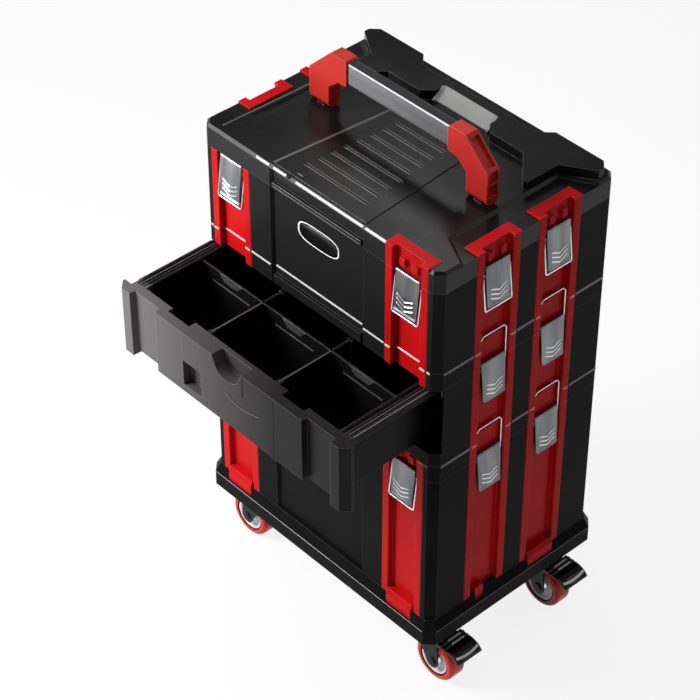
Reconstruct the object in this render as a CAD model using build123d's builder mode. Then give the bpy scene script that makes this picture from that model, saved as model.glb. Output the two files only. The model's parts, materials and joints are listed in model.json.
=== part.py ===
from build123d import *
import os
from math import atan2, degrees, hypot

os.makedirs("parts", exist_ok=True)

# Overall sizes of the stack, in millimetres, with the floor at z = 0 and the drawer facing -Y
WIDTH = 470.0
DEPTH = 330.0
CORNER = 12.0
WALL = 3.0
DEEP_BOX_HEIGHT = 299.0
DRAWER_UNIT_HEIGHT = 165.0
TOP_BOX_HEIGHT = 165.0
RIM_HEIGHT = 30.0
GAP = 0.3

# Front panel set back between the two front channels
PANEL_WIDTH = 176.0
PANEL_SET_BACK = 5.0
LID_LIP = 8.0
UNIT_LIP = 15.0

# Red channels let into the sides and the front
CHANNEL_WIDTH = 80.0
CHANNEL_RECESS = 8.0
CHANNEL_SKIN = 2.0
CHANNEL_PROUD = 0.8
CHANNEL_EDGE = 1.2
RECESS_WIDTH = 53.0
SEAM_GAP = 0.4
SIDE_CHANNEL_Y = 57.0
FRONT_CHANNEL_INSET = 60.0

# Latch brackets, levers and wire bails
PIN_DROP = 1.0
PIN_LIFT = 4.2
PIN_RADIUS = 1.5
RUNNING_FIT = 0.05
KNUCKLE_RADIUS = 3.2
BRACKET_WIDTH = 26.0
BRACKET_FOOT = 18.0
SIDE_PLAY = 0.4
LEVER_WIDTH = 45.0
LEVER_LENGTH = 62.0
LEVER_SHEET = 1.5
LEVER_TILT = 4.0
LEVER_CORNER = 7.0
LEVER_FLANGE = 24.0
LEVER_FLANGE_REACH = 2.8
LEVER_NOTCH = 7.0
CHEVRON_COUNT = 3
CHEVRON_HEIGHT = 0.8
CHEVRON_THICKNESS = 2.6
CHEVRON_HALF_WIDTH = 15.0
CHEVRON_RISE = 7.0
CHEVRON_PITCH = 7.5
CHEVRON_LOWEST = -56.0
BAIL_WIRE = 2.4
BAIL_DROP = 10.0
BAIL_LENGTH = 59.0
BAIL_PLAY = 0.7
BAIL_BEND = 5.0
BAIL_SIDES = 8
CATCH_WIDTH = 26.0
CATCH_HEIGHT = 9.0
CATCH_REACH = 6.5
FRONT_LEFT_DROP = 4.5
LUG_PAIR = 24.0
LUG_PAIR_WIDTH = 9.0
LUG_PAIR_LIFT = 9.0
LUG_PAIR_HEIGHT = 12.0
LUG_PAIR_REACH = 5.0

# Lid of the top box
TOP_SLAB = 4.0
STRIP_FRONT = (-122.0, -97.0)
STRIP_REAR_INSETS = (61.0, 34.0)
STRIP_INNER_X = 186.0
CAP_DEPTH = 24.0
CAP_THICKNESS = 3.0
FRONT_CAP_THICKNESS = 5.0
PAD_FRONT_X = 90.0
PAD_FRONT_INSET = 8.0
PAD_REAR = (70.0, 84.0)
PAD_HEIGHT = 1.0
SLOT_COUNT = 8
SLOT_PITCH = 22.0
SLOT_FIRST_Y = -127.5
SLOT_FIRST_LENGTH = 126.0
SLOT_LAST_LENGTH = 96.0
SLOT_WIDTH = 5.0
SLOT_DEPTH = 2.0
PLATFORM_HEIGHT = 15.0
PLATFORM_FRONT_Y = 90.0
PLATFORM_SHOULDER = (131.0, 174.0)
PLATFORM_SIDE_Y = 47.0
PLATFORM_REAR_INSET = 9.0
PLATFORM_SIDE_INSET = 6.0
PLATFORM_NOTCH = 19.0
PLATFORM_NOTCH_X = 110.0
PLATFORM_FRONT_WALL = 8.0
PLATFORM_SCOOP_WALL = 10.0
PLATFORM_HOLLOW_X = 180.0
SCOOP_HALF = 54.0
SCOOP_MOUTH = 14.0
SCOOP_FLOOR_Y = 105.0
SCOOP_RUN = 20.0

# Rear hinge of the lid
HINGE_RADIUS = 4.0
HINGE_PIN_RADIUS = 1.5
HINGE_STAND_OFF = 4.5
HINGE_SPACING = 150.0
HINGE_INNER = 16.0
HINGE_OUTER = 12.0
HINGE_WEB = 10.0

# Folding handle
HANDLE_HEIGHT = 95.0
HANDLE_PIVOT_Y = -9.0
HANDLE_PIN_RADIUS = 2.5
POST_THICKNESS = 22.0
POST_INNER_X = 134.0
POST_OUTER_X = 173.0
POST_HEAD_X = 98.0
POST_HEAD_BOTTOM = 55.0
POST_HEAD_SLOPE = 1.0
POST_NECK_X = 115.0
POST_NECK_BOTTOM = 38.0
POST_TOP_OUTER_X = 130.5
POST_SHOULDER = 54.0
POST_ROUNDING = 4.0
POST_POCKET = 5.0
POST_RIB = 3.0
LUG_WIDTH = 14.6
LUG_RADIUS = 8.0
POST_CLEARANCE = 0.5
LUG_X = 153.5
BAR_HEIGHT = 34.0
BAR_DEPTH = 17.0
BAR_ROUNDING = 6.0
BAR_WALL = 2.0
BAR_INSERT = 16.0

# Drawer, which rests drawn out by its pull
PULL = 163.0
FRONT_FRAME_HEIGHT = 22.0
DRAWER_TOP_PLAY = 0.5
DRAWER_SIDE_PLAY = 1.5
FRONT_RECESS_SHIFT = 3.5
FRONT_RECESS_DEPTH = 9.5
FRONT_RECESS_WALL = 14.5
FRONT_RETURN = 12.0
FRONT_PANEL = 15.0
FRONT_BLOCK_HALF = 95.0
FRONT_BLOCK = 27.0
FRONT_COLUMN = 30.0
FRONT_EDGE = 15.5
TRAY_SIDE_SPACE = 36.0
TRAY_REAR_SPACE = 15.0
TRAY_FLOOR_LIFT = 6.0
FLANGE = 3.0
FLANGE_DROP = 2.5
FLANGE_LIP = 8.0
FLANGE_RIB_STEPS = (6.0, 11.0)
FLANGE_RIB = 1.5
RAIL_LEG = 12.0
RAIL_PLAY = 1.0
GRIP_HALF = 30.0
GRIP_HEIGHT = 29.0
GRIP_DEPTH = 20.0
GRIP_TAPER = 8.0
GRIP_ROUND = 10.0
WINDOW_LEFT = -94.0
WINDOW_WIDTH = 38.0
WINDOW_BOTTOM = 12.0
WINDOW_HEIGHT = 44.0
WINDOW_DEPTH = 14.0
DIVIDER = 3.0
DIVIDER_DROP = 4.0
LONG_DIVIDER_Y = -38.0
SHORT_DIVIDER_X = 70.0
TEE_LENGTH = 11.0
TEE_WIDTH = 8.0
COMB_X = (-136.0, -4.0, 133.0)
COMB_WIDTH = 46.0
COMB_COUNT = 4
COMB_PITCH = 3.0
LEDGE_WIDTH = 78.0
LEDGE_DROP = 22.0

# Dolly, whose pads hang down inside it to the casters
PAD_DROP = 50.0
DOLLY_OVERHANG = 8.0
DOLLY_BEVEL = 16.0
DOLLY_RIM = 26.0
DOLLY_CORNER = 14.0
DOLLY_SIDE = 8.0
DOLLY_DECK = 4.0
DOLLY_RIB = 4.0
DOLLY_RIB_HEIGHT = 28.0
PAD_LENGTH = 90.0
PAD_WIDTH = 80.0
PAD_BORDER = 7.5
CLASP_WIDTH = 50.0
CLASP_DROP = 15.0
CLASP_HEIGHT = 26.0
CLASP_REACH = 5.0
CLASP_BEVEL = 3.0
FOOT_LUG_WIDTH = 16.0
FOOT_LUG_SHIFT = -10.0
FOOT_LUG_REACH = 2.0
CLASP_PLAY = 0.2

# Casters, trailing outwards
CASTER_HEIGHT = 112.0
CASTER_SIDE_INSET = 55.0
CASTER_END_INSET = 53.0
CASTER_TRAIL = 28.0
PLATE = 3.0
RACE_RADIUS = 24.0
RACE = 3.0
CROWN_RADIUS = 27.0
CROWN = 3.0
KINGPIN_RADIUS = 5.0
KINGPIN_HEAD = 8.0
KINGPIN_HEAD_THICKNESS = 4.0
FORK_SHEET = 2.5
FORK_PLAY = 1.5
FORK_EYE = 12.0
FORK_TOP_HALF = 20.0
FORK_LEG_DROP = 8.0
WHEEL_RADIUS = 37.5
WHEEL_WIDTH = 30.0
TYRE_ROUNDING = 6.0
HUB_RADIUS = 26.0
HUB_WEB = 18.0
HUB_BOSS = 10.0
AXLE_RADIUS = 4.0
AXLE_HEAD = 7.0
PEDAL_PIVOT_X = 36.0
PEDAL_WHEEL_SPACE = 5.0
PEDAL_PIN_RADIUS = 2.5
PEDAL_BARREL = 4.8
PEDAL_EAR = 7.0
PEDAL_NARROW = 28.0
PEDAL_WIDTH = 48.0
TREAD = 2.5
TREAD_START = 44.0
TREAD_END = 60.0
TREAD_LIFT = 7.0
LIP_END = 87.0
LIP_DROP = 10.0
LIP_RADIUS = 27.0
TREAD_RIBS = (50.0, 58.0)
TREAD_RIB_HEIGHT = 2.6

# Levels and places worked out from the driving sizes
RIGHT = WIDTH / 2
REAR = DEPTH / 2
CASE_HEIGHT = CASTER_HEIGHT + PAD_DROP
FRONT_CHANNEL_X = RIGHT - FRONT_CHANNEL_INSET
DRAWER_UNIT_Z = CASE_HEIGHT + DEEP_BOX_HEIGHT
TOP_BOX_Z = DRAWER_UNIT_Z + DRAWER_UNIT_HEIGHT
LID_EDGE_Z = TOP_BOX_Z + TOP_BOX_HEIGHT
LID_SEAM_Z = LID_EDGE_Z - RIM_HEIGHT
LID_TOP_Z = LID_EDGE_Z + TOP_SLAB
POCKET = CHANNEL_RECESS + CHANNEL_SKIN
BAIL_RADIUS = BAIL_WIRE / 2
BAIL_LEG = LEVER_WIDTH / 2 + BAIL_PLAY + BAIL_RADIUS

# A spot is a channel's centre on the outer face and the level direction along that face
RIGHT_FRONT = (RIGHT, -SIDE_CHANNEL_Y, (0, 1, 0))
RIGHT_REAR = (RIGHT, SIDE_CHANNEL_Y, (0, 1, 0))
LEFT_FRONT = (-RIGHT, -SIDE_CHANNEL_Y, (0, -1, 0))
LEFT_REAR = (-RIGHT, SIDE_CHANNEL_Y, (0, -1, 0))
FRONT_RIGHT = (FRONT_CHANNEL_X, -REAR, (1, 0, 0))
FRONT_LEFT = (-FRONT_CHANNEL_X, -REAR, (1, 0, 0))
SIDE_SPOTS = (RIGHT_FRONT, RIGHT_REAR, LEFT_FRONT, LEFT_REAR)
FRONT_SPOTS = (FRONT_RIGHT, FRONT_LEFT)
ALL_SPOTS = SIDE_SPOTS + FRONT_SPOTS

# Heights of the latch pins, just under each module's upper seam
TOP_PIN_Z = LID_SEAM_Z - PIN_DROP
UNIT_PIN_Z = TOP_BOX_Z - RIM_HEIGHT - PIN_DROP
DEEP_PIN_Z = DRAWER_UNIT_Z - RIM_HEIGHT - PIN_DROP
STATIONS = [(spot, TOP_PIN_Z) for spot in SIDE_SPOTS]
STATIONS += [(FRONT_RIGHT, TOP_PIN_Z), (FRONT_LEFT, TOP_PIN_Z - FRONT_LEFT_DROP)]
STATIONS += [(spot, DEEP_PIN_Z) for spot in FRONT_SPOTS]
HANGING_COUNT = len(STATIONS)
STATIONS += [(spot, UNIT_PIN_Z) for spot in SIDE_SPOTS]
STATIONS += [(spot, DEEP_PIN_Z) for spot in SIDE_SPOTS]


def level(x, y, z):
    return Plane(origin=(x, y, z))


def front_plane(x, y, z):
    # Local x runs to the right and local y up, facing a person at the drawer
    return Plane(origin=(x, y, z), x_dir=(1, 0, 0), z_dir=(0, -1, 0))


def side_plane(x, y, z):
    # Local x runs to the rear and local y up
    return Plane(origin=(x, y, z), x_dir=(0, 1, 0), z_dir=(1, 0, 0))


def outward(spot):
    return Vector(*spot[2]).cross(Vector(0, 0, 1))


def plan_plane(spot, z):
    # Local x runs along the face and local y into the case
    return Plane(origin=(spot[0], spot[1], z), x_dir=spot[2], z_dir=(0, 0, 1))


def pin_origin(spot, z):
    return Vector(spot[0], spot[1], z) - outward(spot) * (CHANNEL_RECESS - PIN_LIFT)


def pin_section(spot, z):
    # Local x runs out of the case and local y up, with the latch pin at the origin
    return Plane(origin=pin_origin(spot, z), x_dir=outward(spot), z_dir=-Vector(*spot[2]))


def pin_face(spot, z):
    # Local x runs along the face and local y up, in the plane of the latch pin
    return Plane(origin=pin_origin(spot, z), x_dir=spot[2], z_dir=outward(spot))


def both_sides(points):
    # A closed outline from its right half, listed from front to rear
    return points + [(-x, y) for x, y in reversed(points)]


# Outlines of the modules in plan, whole and hollowed

def footprint(front_spots, set_back):
    with BuildSketch() as outline:
        Rectangle(WIDTH, DEPTH)
        chamfer(outline.vertices(), CORNER)
        with Locations(*[(spot[0], spot[1]) for spot in SIDE_SPOTS]):
            Rectangle(2 * POCKET, CHANNEL_WIDTH, mode=Mode.SUBTRACT)
        for spot in front_spots:
            with Locations((spot[0], spot[1])):
                Rectangle(CHANNEL_WIDTH, 2 * POCKET, mode=Mode.SUBTRACT)
        if set_back:
            half = PANEL_WIDTH / 2
            depth = PANEL_SET_BACK
            with BuildLine():
                Polyline(
                    (half + depth, -REAR),
                    (half, -REAR + depth),
                    (-half, -REAR + depth),
                    (-half - depth, -REAR),
                    close=True,
                )
            make_face(mode=Mode.SUBTRACT)
    return outline.sketch


def hollow_of(outline):
    with BuildSketch() as hollow:
        add(outline)
        offset(amount=-WALL, kind=Kind.INTERSECTION)
    return hollow.sketch


box_outline = footprint(FRONT_SPOTS, True)
lid_outline = footprint((FRONT_RIGHT,), True)
unit_outline = footprint((), False)
box_hollow = hollow_of(box_outline)
lid_hollow = hollow_of(lid_outline)
unit_hollow = hollow_of(unit_outline)


def lip_plan():
    # Fills the set-back strip of the front panel
    with BuildSketch() as plan:
        with Locations((0, PANEL_SET_BACK - REAR)):
            Rectangle(PANEL_WIDTH, PANEL_SET_BACK, align=(Align.CENTER, Align.MAX))
    return plan.sketch


# Deep box at the bottom of the stack, with its own flat cover
DEEP_SHELL_HEIGHT = DEEP_BOX_HEIGHT - RIM_HEIGHT
DEEP_COVER_Z = CASE_HEIGHT + DEEP_SHELL_HEIGHT

with BuildPart() as deep_box_shell:
    with BuildSketch(Plane.XY.offset(CASE_HEIGHT)):
        add(box_outline)
    extrude(amount=DEEP_SHELL_HEIGHT)
    with BuildSketch(Plane.XY.offset(CASE_HEIGHT + WALL)):
        add(box_hollow)
    extrude(amount=DEEP_SHELL_HEIGHT, mode=Mode.SUBTRACT)

deep_box_shell.part.label = "deep_box_shell"
export_step(deep_box_shell.part, "parts/deep_box_shell.step")

with BuildPart() as deep_box_lid:
    with BuildSketch(Plane.XY.offset(DEEP_COVER_Z)):
        add(box_outline)
    extrude(amount=RIM_HEIGHT)
    with BuildSketch(Plane.XY.offset(DEEP_COVER_Z)):
        add(box_hollow)
    extrude(amount=RIM_HEIGHT - WALL, mode=Mode.SUBTRACT)

deep_box_lid.part.label = "deep_box_lid"
export_step(deep_box_lid.part, "parts/deep_box_lid.step")

# Drawer unit, open at the front between its lower and upper frames
UNIT_SHELL_HEIGHT = DRAWER_UNIT_HEIGHT - RIM_HEIGHT
UNIT_COVER_Z = DRAWER_UNIT_Z + UNIT_SHELL_HEIGHT
FRONT_BOTTOM_Z = DRAWER_UNIT_Z + FRONT_FRAME_HEIGHT
OPENING_Y = -REAR + FRONT_EDGE + GAP

with BuildPart() as drawer_unit_shell:
    with BuildSketch(Plane.XY.offset(DRAWER_UNIT_Z)):
        add(unit_outline)
    extrude(amount=UNIT_SHELL_HEIGHT)
    with BuildSketch(Plane.XY.offset(DRAWER_UNIT_Z + WALL)):
        add(unit_hollow)
    extrude(amount=UNIT_SHELL_HEIGHT, mode=Mode.SUBTRACT)
    with BuildSketch(Plane.XY.offset(FRONT_BOTTOM_Z)):
        with Locations((0, OPENING_Y)):
            Rectangle(WIDTH + 2 * WALL, 2 * FRONT_EDGE, align=(Align.CENTER, Align.MAX))
    extrude(amount=UNIT_SHELL_HEIGHT, mode=Mode.SUBTRACT)

drawer_unit_shell.part.label = "drawer_unit_shell"
export_step(drawer_unit_shell.part, "parts/drawer_unit_shell.step")

with BuildPart() as drawer_unit_top:
    with BuildSketch(Plane.XY.offset(UNIT_COVER_Z)):
        add(box_outline)
    extrude(amount=RIM_HEIGHT)
    with BuildSketch(Plane.XY.offset(UNIT_COVER_Z)):
        add(box_hollow)
    extrude(amount=RIM_HEIGHT - WALL, mode=Mode.SUBTRACT)
    with BuildSketch(Plane.XY.offset(UNIT_COVER_Z)):
        add(lip_plan())
    extrude(amount=UNIT_LIP)

drawer_unit_top.part.label = "drawer_unit_top"
export_step(drawer_unit_top.part, "parts/drawer_unit_top.step")

# Rails that carry the drawer's side flanges, from behind the shut drawer's front to the rear
DRAWER_TOP_Z = UNIT_COVER_Z - DRAWER_TOP_PLAY
FLANGE_BOTTOM_Z = DRAWER_TOP_Z - FLANGE_DROP - FLANGE
LIP_BOTTOM_Z = FLANGE_BOTTOM_Z - FLANGE_LIP
BULGE_X = RIGHT - POCKET - WALL
FLANGE_OUTER_X = BULGE_X - DRAWER_SIDE_PLAY
TRAY_INNER_X = RIGHT - TRAY_SIDE_SPACE
TRAY_OUTER_X = TRAY_INNER_X + WALL
RAIL_INNER_X = TRAY_OUTER_X + DRAWER_SIDE_PLAY
LEDGE_TOP_Z = LIP_BOTTOM_Z - RAIL_PLAY
RECESS_Y = -REAR + FRONT_RECESS_DEPTH
RECESS_BACK_Y = RECESS_Y + FRONT_RECESS_WALL
RAIL_FRONT_Y = RECESS_BACK_Y + GAP
RAIL_REAR_Y = REAR - 2 * WALL

with BuildPart() as drawer_runners:
    with BuildSketch(Plane.XZ.offset(-RAIL_REAR_Y)):
        with BuildLine():
            Polyline(
                (BULGE_X, LEDGE_TOP_Z - RAIL_LEG),
                (BULGE_X, LEDGE_TOP_Z),
                (RAIL_INNER_X + WALL, LEDGE_TOP_Z),
                (RAIL_INNER_X + WALL, FLANGE_BOTTOM_Z - GAP),
                (RAIL_INNER_X, FLANGE_BOTTOM_Z - GAP),
                (RAIL_INNER_X, LEDGE_TOP_Z - WALL),
                (BULGE_X - WALL, LEDGE_TOP_Z - WALL),
                (BULGE_X - WALL, LEDGE_TOP_Z - RAIL_LEG),
                close=True,
            )
        make_face()
        mirror(about=Plane.YZ)
    extrude(amount=RAIL_REAR_Y - RAIL_FRONT_Y)

drawer_runners.part.label = "drawer_runners"
export_step(drawer_runners.part, "parts/drawer_runners.step")

# Drawer: tray and moulded front in one piece, drawn forwards by the pull
TRAY_FLOOR_Z = FRONT_BOTTOM_Z + TRAY_FLOOR_LIFT
TRAY_HEIGHT = DRAWER_TOP_Z - TRAY_FLOOR_Z
FRONT_RECESS_X = FRONT_CHANNEL_X + FRONT_RECESS_SHIFT
RECESS_OUTER_X = FRONT_RECESS_X + RECESS_WIDTH / 2
RECESS_INNER_X = FRONT_RECESS_X - RECESS_WIDTH / 2
RETURN_X = RECESS_INNER_X - FRONT_RETURN
PANEL_BACK_Y = -REAR + FRONT_PANEL
BLOCK_BACK_Y = -REAR + FRONT_BLOCK
EDGE_BACK_Y = -REAR + FRONT_EDGE
TRAY_REAR_Y = REAR - TRAY_REAR_SPACE
TRAY_LENGTH = TRAY_REAR_Y - PANEL_BACK_Y
FLANGE_LENGTH = TRAY_REAR_Y - RECESS_BACK_Y


def drawn(z):
    return Plane(origin=(0, -PULL, z))


front_plan = both_sides([
    (RECESS_INNER_X - CHANNEL_EDGE, -REAR),
    (RECESS_INNER_X, RECESS_Y),
    (RECESS_OUTER_X, RECESS_Y),
    (RECESS_OUTER_X + CHANNEL_EDGE, -REAR),
    (RIGHT - CORNER, -REAR),
    (RIGHT, -REAR + CORNER),
    (RIGHT, EDGE_BACK_Y),
    (FLANGE_OUTER_X, EDGE_BACK_Y),
    (FLANGE_OUTER_X, RECESS_BACK_Y),
    (RETURN_X, RECESS_BACK_Y),
    (RETURN_X, PANEL_BACK_Y),
    (FRONT_BLOCK_HALF, PANEL_BACK_Y),
    (FRONT_BLOCK_HALF, BLOCK_BACK_Y),
])

with BuildPart() as drawer_tray:
    # Tray
    with BuildSketch(drawn(TRAY_FLOOR_Z)):
        with Locations((0, PANEL_BACK_Y)):
            Rectangle(2 * TRAY_OUTER_X, TRAY_LENGTH, align=(Align.CENTER, Align.MIN))
    extrude(amount=TRAY_HEIGHT)
    with BuildSketch(drawn(TRAY_FLOOR_Z + WALL)):
        with Locations((0, PANEL_BACK_Y)):
            Rectangle(2 * TRAY_INNER_X, TRAY_LENGTH - WALL, align=(Align.CENTER, Align.MIN))
    extrude(amount=TRAY_HEIGHT, mode=Mode.SUBTRACT)
    # Front with its recesses, and the corner columns that reach lower
    with BuildSketch(drawn(TRAY_FLOOR_Z)):
        with BuildLine():
            Polyline(*front_plan, close=True)
        make_face()
    extrude(amount=TRAY_HEIGHT)
    with BuildSketch(drawn(FRONT_BOTTOM_Z + GAP)):
        with BuildLine():
            Polyline(
                (RIGHT - FRONT_COLUMN + CHANNEL_EDGE, -REAR),
                (RIGHT - CORNER, -REAR),
                (RIGHT, -REAR + CORNER),
                (RIGHT, EDGE_BACK_Y),
                (RIGHT - FRONT_COLUMN, EDGE_BACK_Y),
                close=True,
            )
        make_face()
        mirror(about=Plane.YZ)
    extrude(amount=TRAY_FLOOR_LIFT)
    # Side flanges with their turned-down lips and ribs
    with BuildSketch(drawn(FLANGE_BOTTOM_Z)):
        for side in (1, -1):
            with Locations((side * (TRAY_OUTER_X + FLANGE_OUTER_X) / 2, RECESS_BACK_Y)):
                flange_width = FLANGE_OUTER_X - TRAY_OUTER_X
                Rectangle(flange_width, FLANGE_LENGTH, align=(Align.CENTER, Align.MIN))
    extrude(amount=FLANGE)
    with BuildSketch(drawn(LIP_BOTTOM_Z)):
        for side in (1, -1):
            with Locations((side * (FLANGE_OUTER_X - FLANGE / 2), RECESS_BACK_Y)):
                Rectangle(FLANGE, FLANGE_LENGTH, align=(Align.CENTER, Align.MIN))
    extrude(amount=DRAWER_TOP_Z - LIP_BOTTOM_Z)
    with BuildSketch(drawn(FLANGE_BOTTOM_Z)):
        for side in (1, -1):
            with Locations(*[(side * (TRAY_OUTER_X + step), RECESS_BACK_Y) for step in FLANGE_RIB_STEPS]):
                Rectangle(FLANGE_RIB, FLANGE_LENGTH, align=(Align.CENTER, Align.MIN))
    extrude(amount=FLANGE + FLANGE_RIB)
    # Grip pocket with a round bottom, open at the front and the top
    with BuildSketch(front_plane(0, -REAR - PULL, DRAWER_TOP_Z)):
        with BuildLine():
            Polyline(
                (GRIP_TAPER - GRIP_HALF, GRIP_ROUND - GRIP_HEIGHT),
                (-GRIP_HALF, GAP),
                (GRIP_HALF, GAP),
                (GRIP_HALF - GRIP_TAPER, GRIP_ROUND - GRIP_HEIGHT),
            )
            ThreePointArc(
                (GRIP_HALF - GRIP_TAPER, GRIP_ROUND - GRIP_HEIGHT),
                (0, -GRIP_HEIGHT),
                (GRIP_TAPER - GRIP_HALF, GRIP_ROUND - GRIP_HEIGHT),
            )
        make_face()
    extrude(amount=-GRIP_DEPTH, mode=Mode.SUBTRACT)
    # Square window beside it
    with BuildSketch(front_plane(WINDOW_LEFT, -REAR - PULL, TRAY_FLOOR_Z)):
        with Locations((WINDOW_WIDTH / 2, WINDOW_BOTTOM + WINDOW_HEIGHT / 2)):
            Rectangle(WINDOW_WIDTH, WINDOW_HEIGHT)
    extrude(amount=-WINDOW_DEPTH, mode=Mode.SUBTRACT)

drawer_tray.part.label = "drawer_tray"
export_step(drawer_tray.part, "parts/drawer_tray.step")

# Dividers, slotted together, with finger combs and label ledges on the long one
DIVIDER_Z = TRAY_FLOOR_Z + WALL
DIVIDER_HEIGHT = DRAWER_TOP_Z - DIVIDER_DROP - DIVIDER_Z
COMB_FACE_Y = LONG_DIVIDER_Y - DIVIDER / 2 - PULL

with BuildPart() as drawer_dividers:
    with BuildSketch(drawn(DIVIDER_Z)):
        with Locations((0, LONG_DIVIDER_Y)):
            Rectangle(2 * TRAY_INNER_X, DIVIDER)
        with Locations((SHORT_DIVIDER_X, BLOCK_BACK_Y), (-SHORT_DIVIDER_X, BLOCK_BACK_Y)):
            Rectangle(DIVIDER, TRAY_REAR_Y - WALL - BLOCK_BACK_Y, align=(Align.CENTER, Align.MIN))
            Rectangle(TEE_WIDTH, TEE_LENGTH, align=(Align.CENTER, Align.MIN))
        with Locations((SHORT_DIVIDER_X, 0), (-SHORT_DIVIDER_X, 0)):
            Rectangle(TEE_WIDTH, TEE_LENGTH)
    extrude(amount=DIVIDER_HEIGHT)
    with BuildSketch(front_plane(0, COMB_FACE_Y, DIVIDER_Z + DIVIDER_HEIGHT)):
        for x in COMB_X:
            for row in range(COMB_COUNT):
                with Locations((x, -COMB_PITCH * (row + 0.5))):
                    Rectangle(COMB_WIDTH - 2 * COMB_PITCH * row, COMB_PITCH / 2)
            with Locations((x, -LEDGE_DROP)):
                Rectangle(LEDGE_WIDTH, DIVIDER / 2)
    extrude(amount=DIVIDER / 2)

drawer_dividers.part.label = "drawer_dividers"
export_step(drawer_dividers.part, "parts/drawer_dividers.step")

# Top box shell with the fixed knuckles of its rear hinge
HINGE_X = (-HINGE_SPACING, 0.0, HINGE_SPACING)
HINGE_Y = REAR + HINGE_STAND_OFF
TOP_SHELL_HEIGHT = TOP_BOX_HEIGHT - RIM_HEIGHT
OUTER_STARTS = [x + step for x in HINGE_X for step in (-HINGE_INNER / 2 - HINGE_OUTER, HINGE_INNER / 2)]


def hinge_section(x):
    # The hinge axis is at the origin
    return side_plane(x, HINGE_Y, LID_SEAM_Z)


with BuildPart() as top_box_shell:
    with BuildSketch(Plane.XY.offset(TOP_BOX_Z)):
        add(box_outline)
    extrude(amount=TOP_SHELL_HEIGHT)
    with BuildSketch(Plane.XY.offset(TOP_BOX_Z + WALL)):
        add(box_hollow)
    extrude(amount=TOP_SHELL_HEIGHT, mode=Mode.SUBTRACT)
    with BuildSketch(*[hinge_section(x) for x in OUTER_STARTS]):
        Circle(HINGE_RADIUS)
        with BuildLine():
            Polyline((-HINGE_STAND_OFF, 0), (-HINGE_STAND_OFF, -HINGE_WEB - HINGE_RADIUS),
                     (0, -HINGE_WEB), (HINGE_RADIUS, 0), close=True)
        make_face()
        Circle(HINGE_PIN_RADIUS, mode=Mode.SUBTRACT)
    extrude(amount=HINGE_OUTER)

top_box_shell.part.label = "top_box_shell"
export_step(top_box_shell.part, "parts/top_box_shell.step")

with BuildPart() as lid_hinge_pins:
    with BuildSketch(*[hinge_section(x - HINGE_INNER / 2 - HINGE_OUTER) for x in HINGE_X]):
        Circle(HINGE_PIN_RADIUS)
    extrude(amount=HINGE_INNER + 2 * HINGE_OUTER)

lid_hinge_pins.part.label = "lid_hinge_pins"
export_step(lid_hinge_pins.part, "parts/lid_hinge_pins.step")

# Lid: rim, bevelled top slab, raised middle pad with slots, rear platform with a finger scoop
STRIP_REAR = (REAR - STRIP_REAR_INSETS[0], REAR - STRIP_REAR_INSETS[1])
PLATFORM_EDGE_X = RIGHT - PLATFORM_SIDE_INSET
PLATFORM_REAR_Y = REAR - PLATFORM_REAR_INSET
PLATFORM_NOTCH_Y = PLATFORM_REAR_Y - PLATFORM_NOTCH
PIVOT_LIFT = POST_THICKNESS / 2 + POST_CLEARANCE
PIVOT_Z = LID_TOP_Z + PIVOT_LIFT
PLATFORM_Z = LID_TOP_Z + PLATFORM_HEIGHT

slab_plan = both_sides([
    (RIGHT - CORNER, -REAR),
    (RIGHT, -REAR + CORNER),
    (RIGHT, STRIP_FRONT[0]),
    (STRIP_INNER_X, STRIP_FRONT[1]),
    (STRIP_INNER_X, STRIP_REAR[0]),
    (RIGHT, STRIP_REAR[1]),
    (RIGHT, REAR - CORNER),
    (RIGHT - CORNER, REAR),
])

platform_plan = both_sides([
    (PLATFORM_SHOULDER[0], PLATFORM_FRONT_Y),
    (PLATFORM_SHOULDER[1], PLATFORM_SIDE_Y),
    (STRIP_INNER_X - TOP_SLAB, PLATFORM_SIDE_Y),
    (STRIP_INNER_X - TOP_SLAB, STRIP_REAR[0]),
    (PLATFORM_EDGE_X, STRIP_REAR[1] + TOP_SLAB),
    (PLATFORM_EDGE_X, PLATFORM_REAR_Y - CORNER),
    (PLATFORM_EDGE_X - CORNER, PLATFORM_REAR_Y),
    (PLATFORM_NOTCH_X + PLATFORM_NOTCH, PLATFORM_REAR_Y),
    (PLATFORM_NOTCH_X, PLATFORM_NOTCH_Y),
])


def post_section(x):
    # The handle's axis is at the origin
    return side_plane(x, HANDLE_PIVOT_Y, PIVOT_Z)


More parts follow.
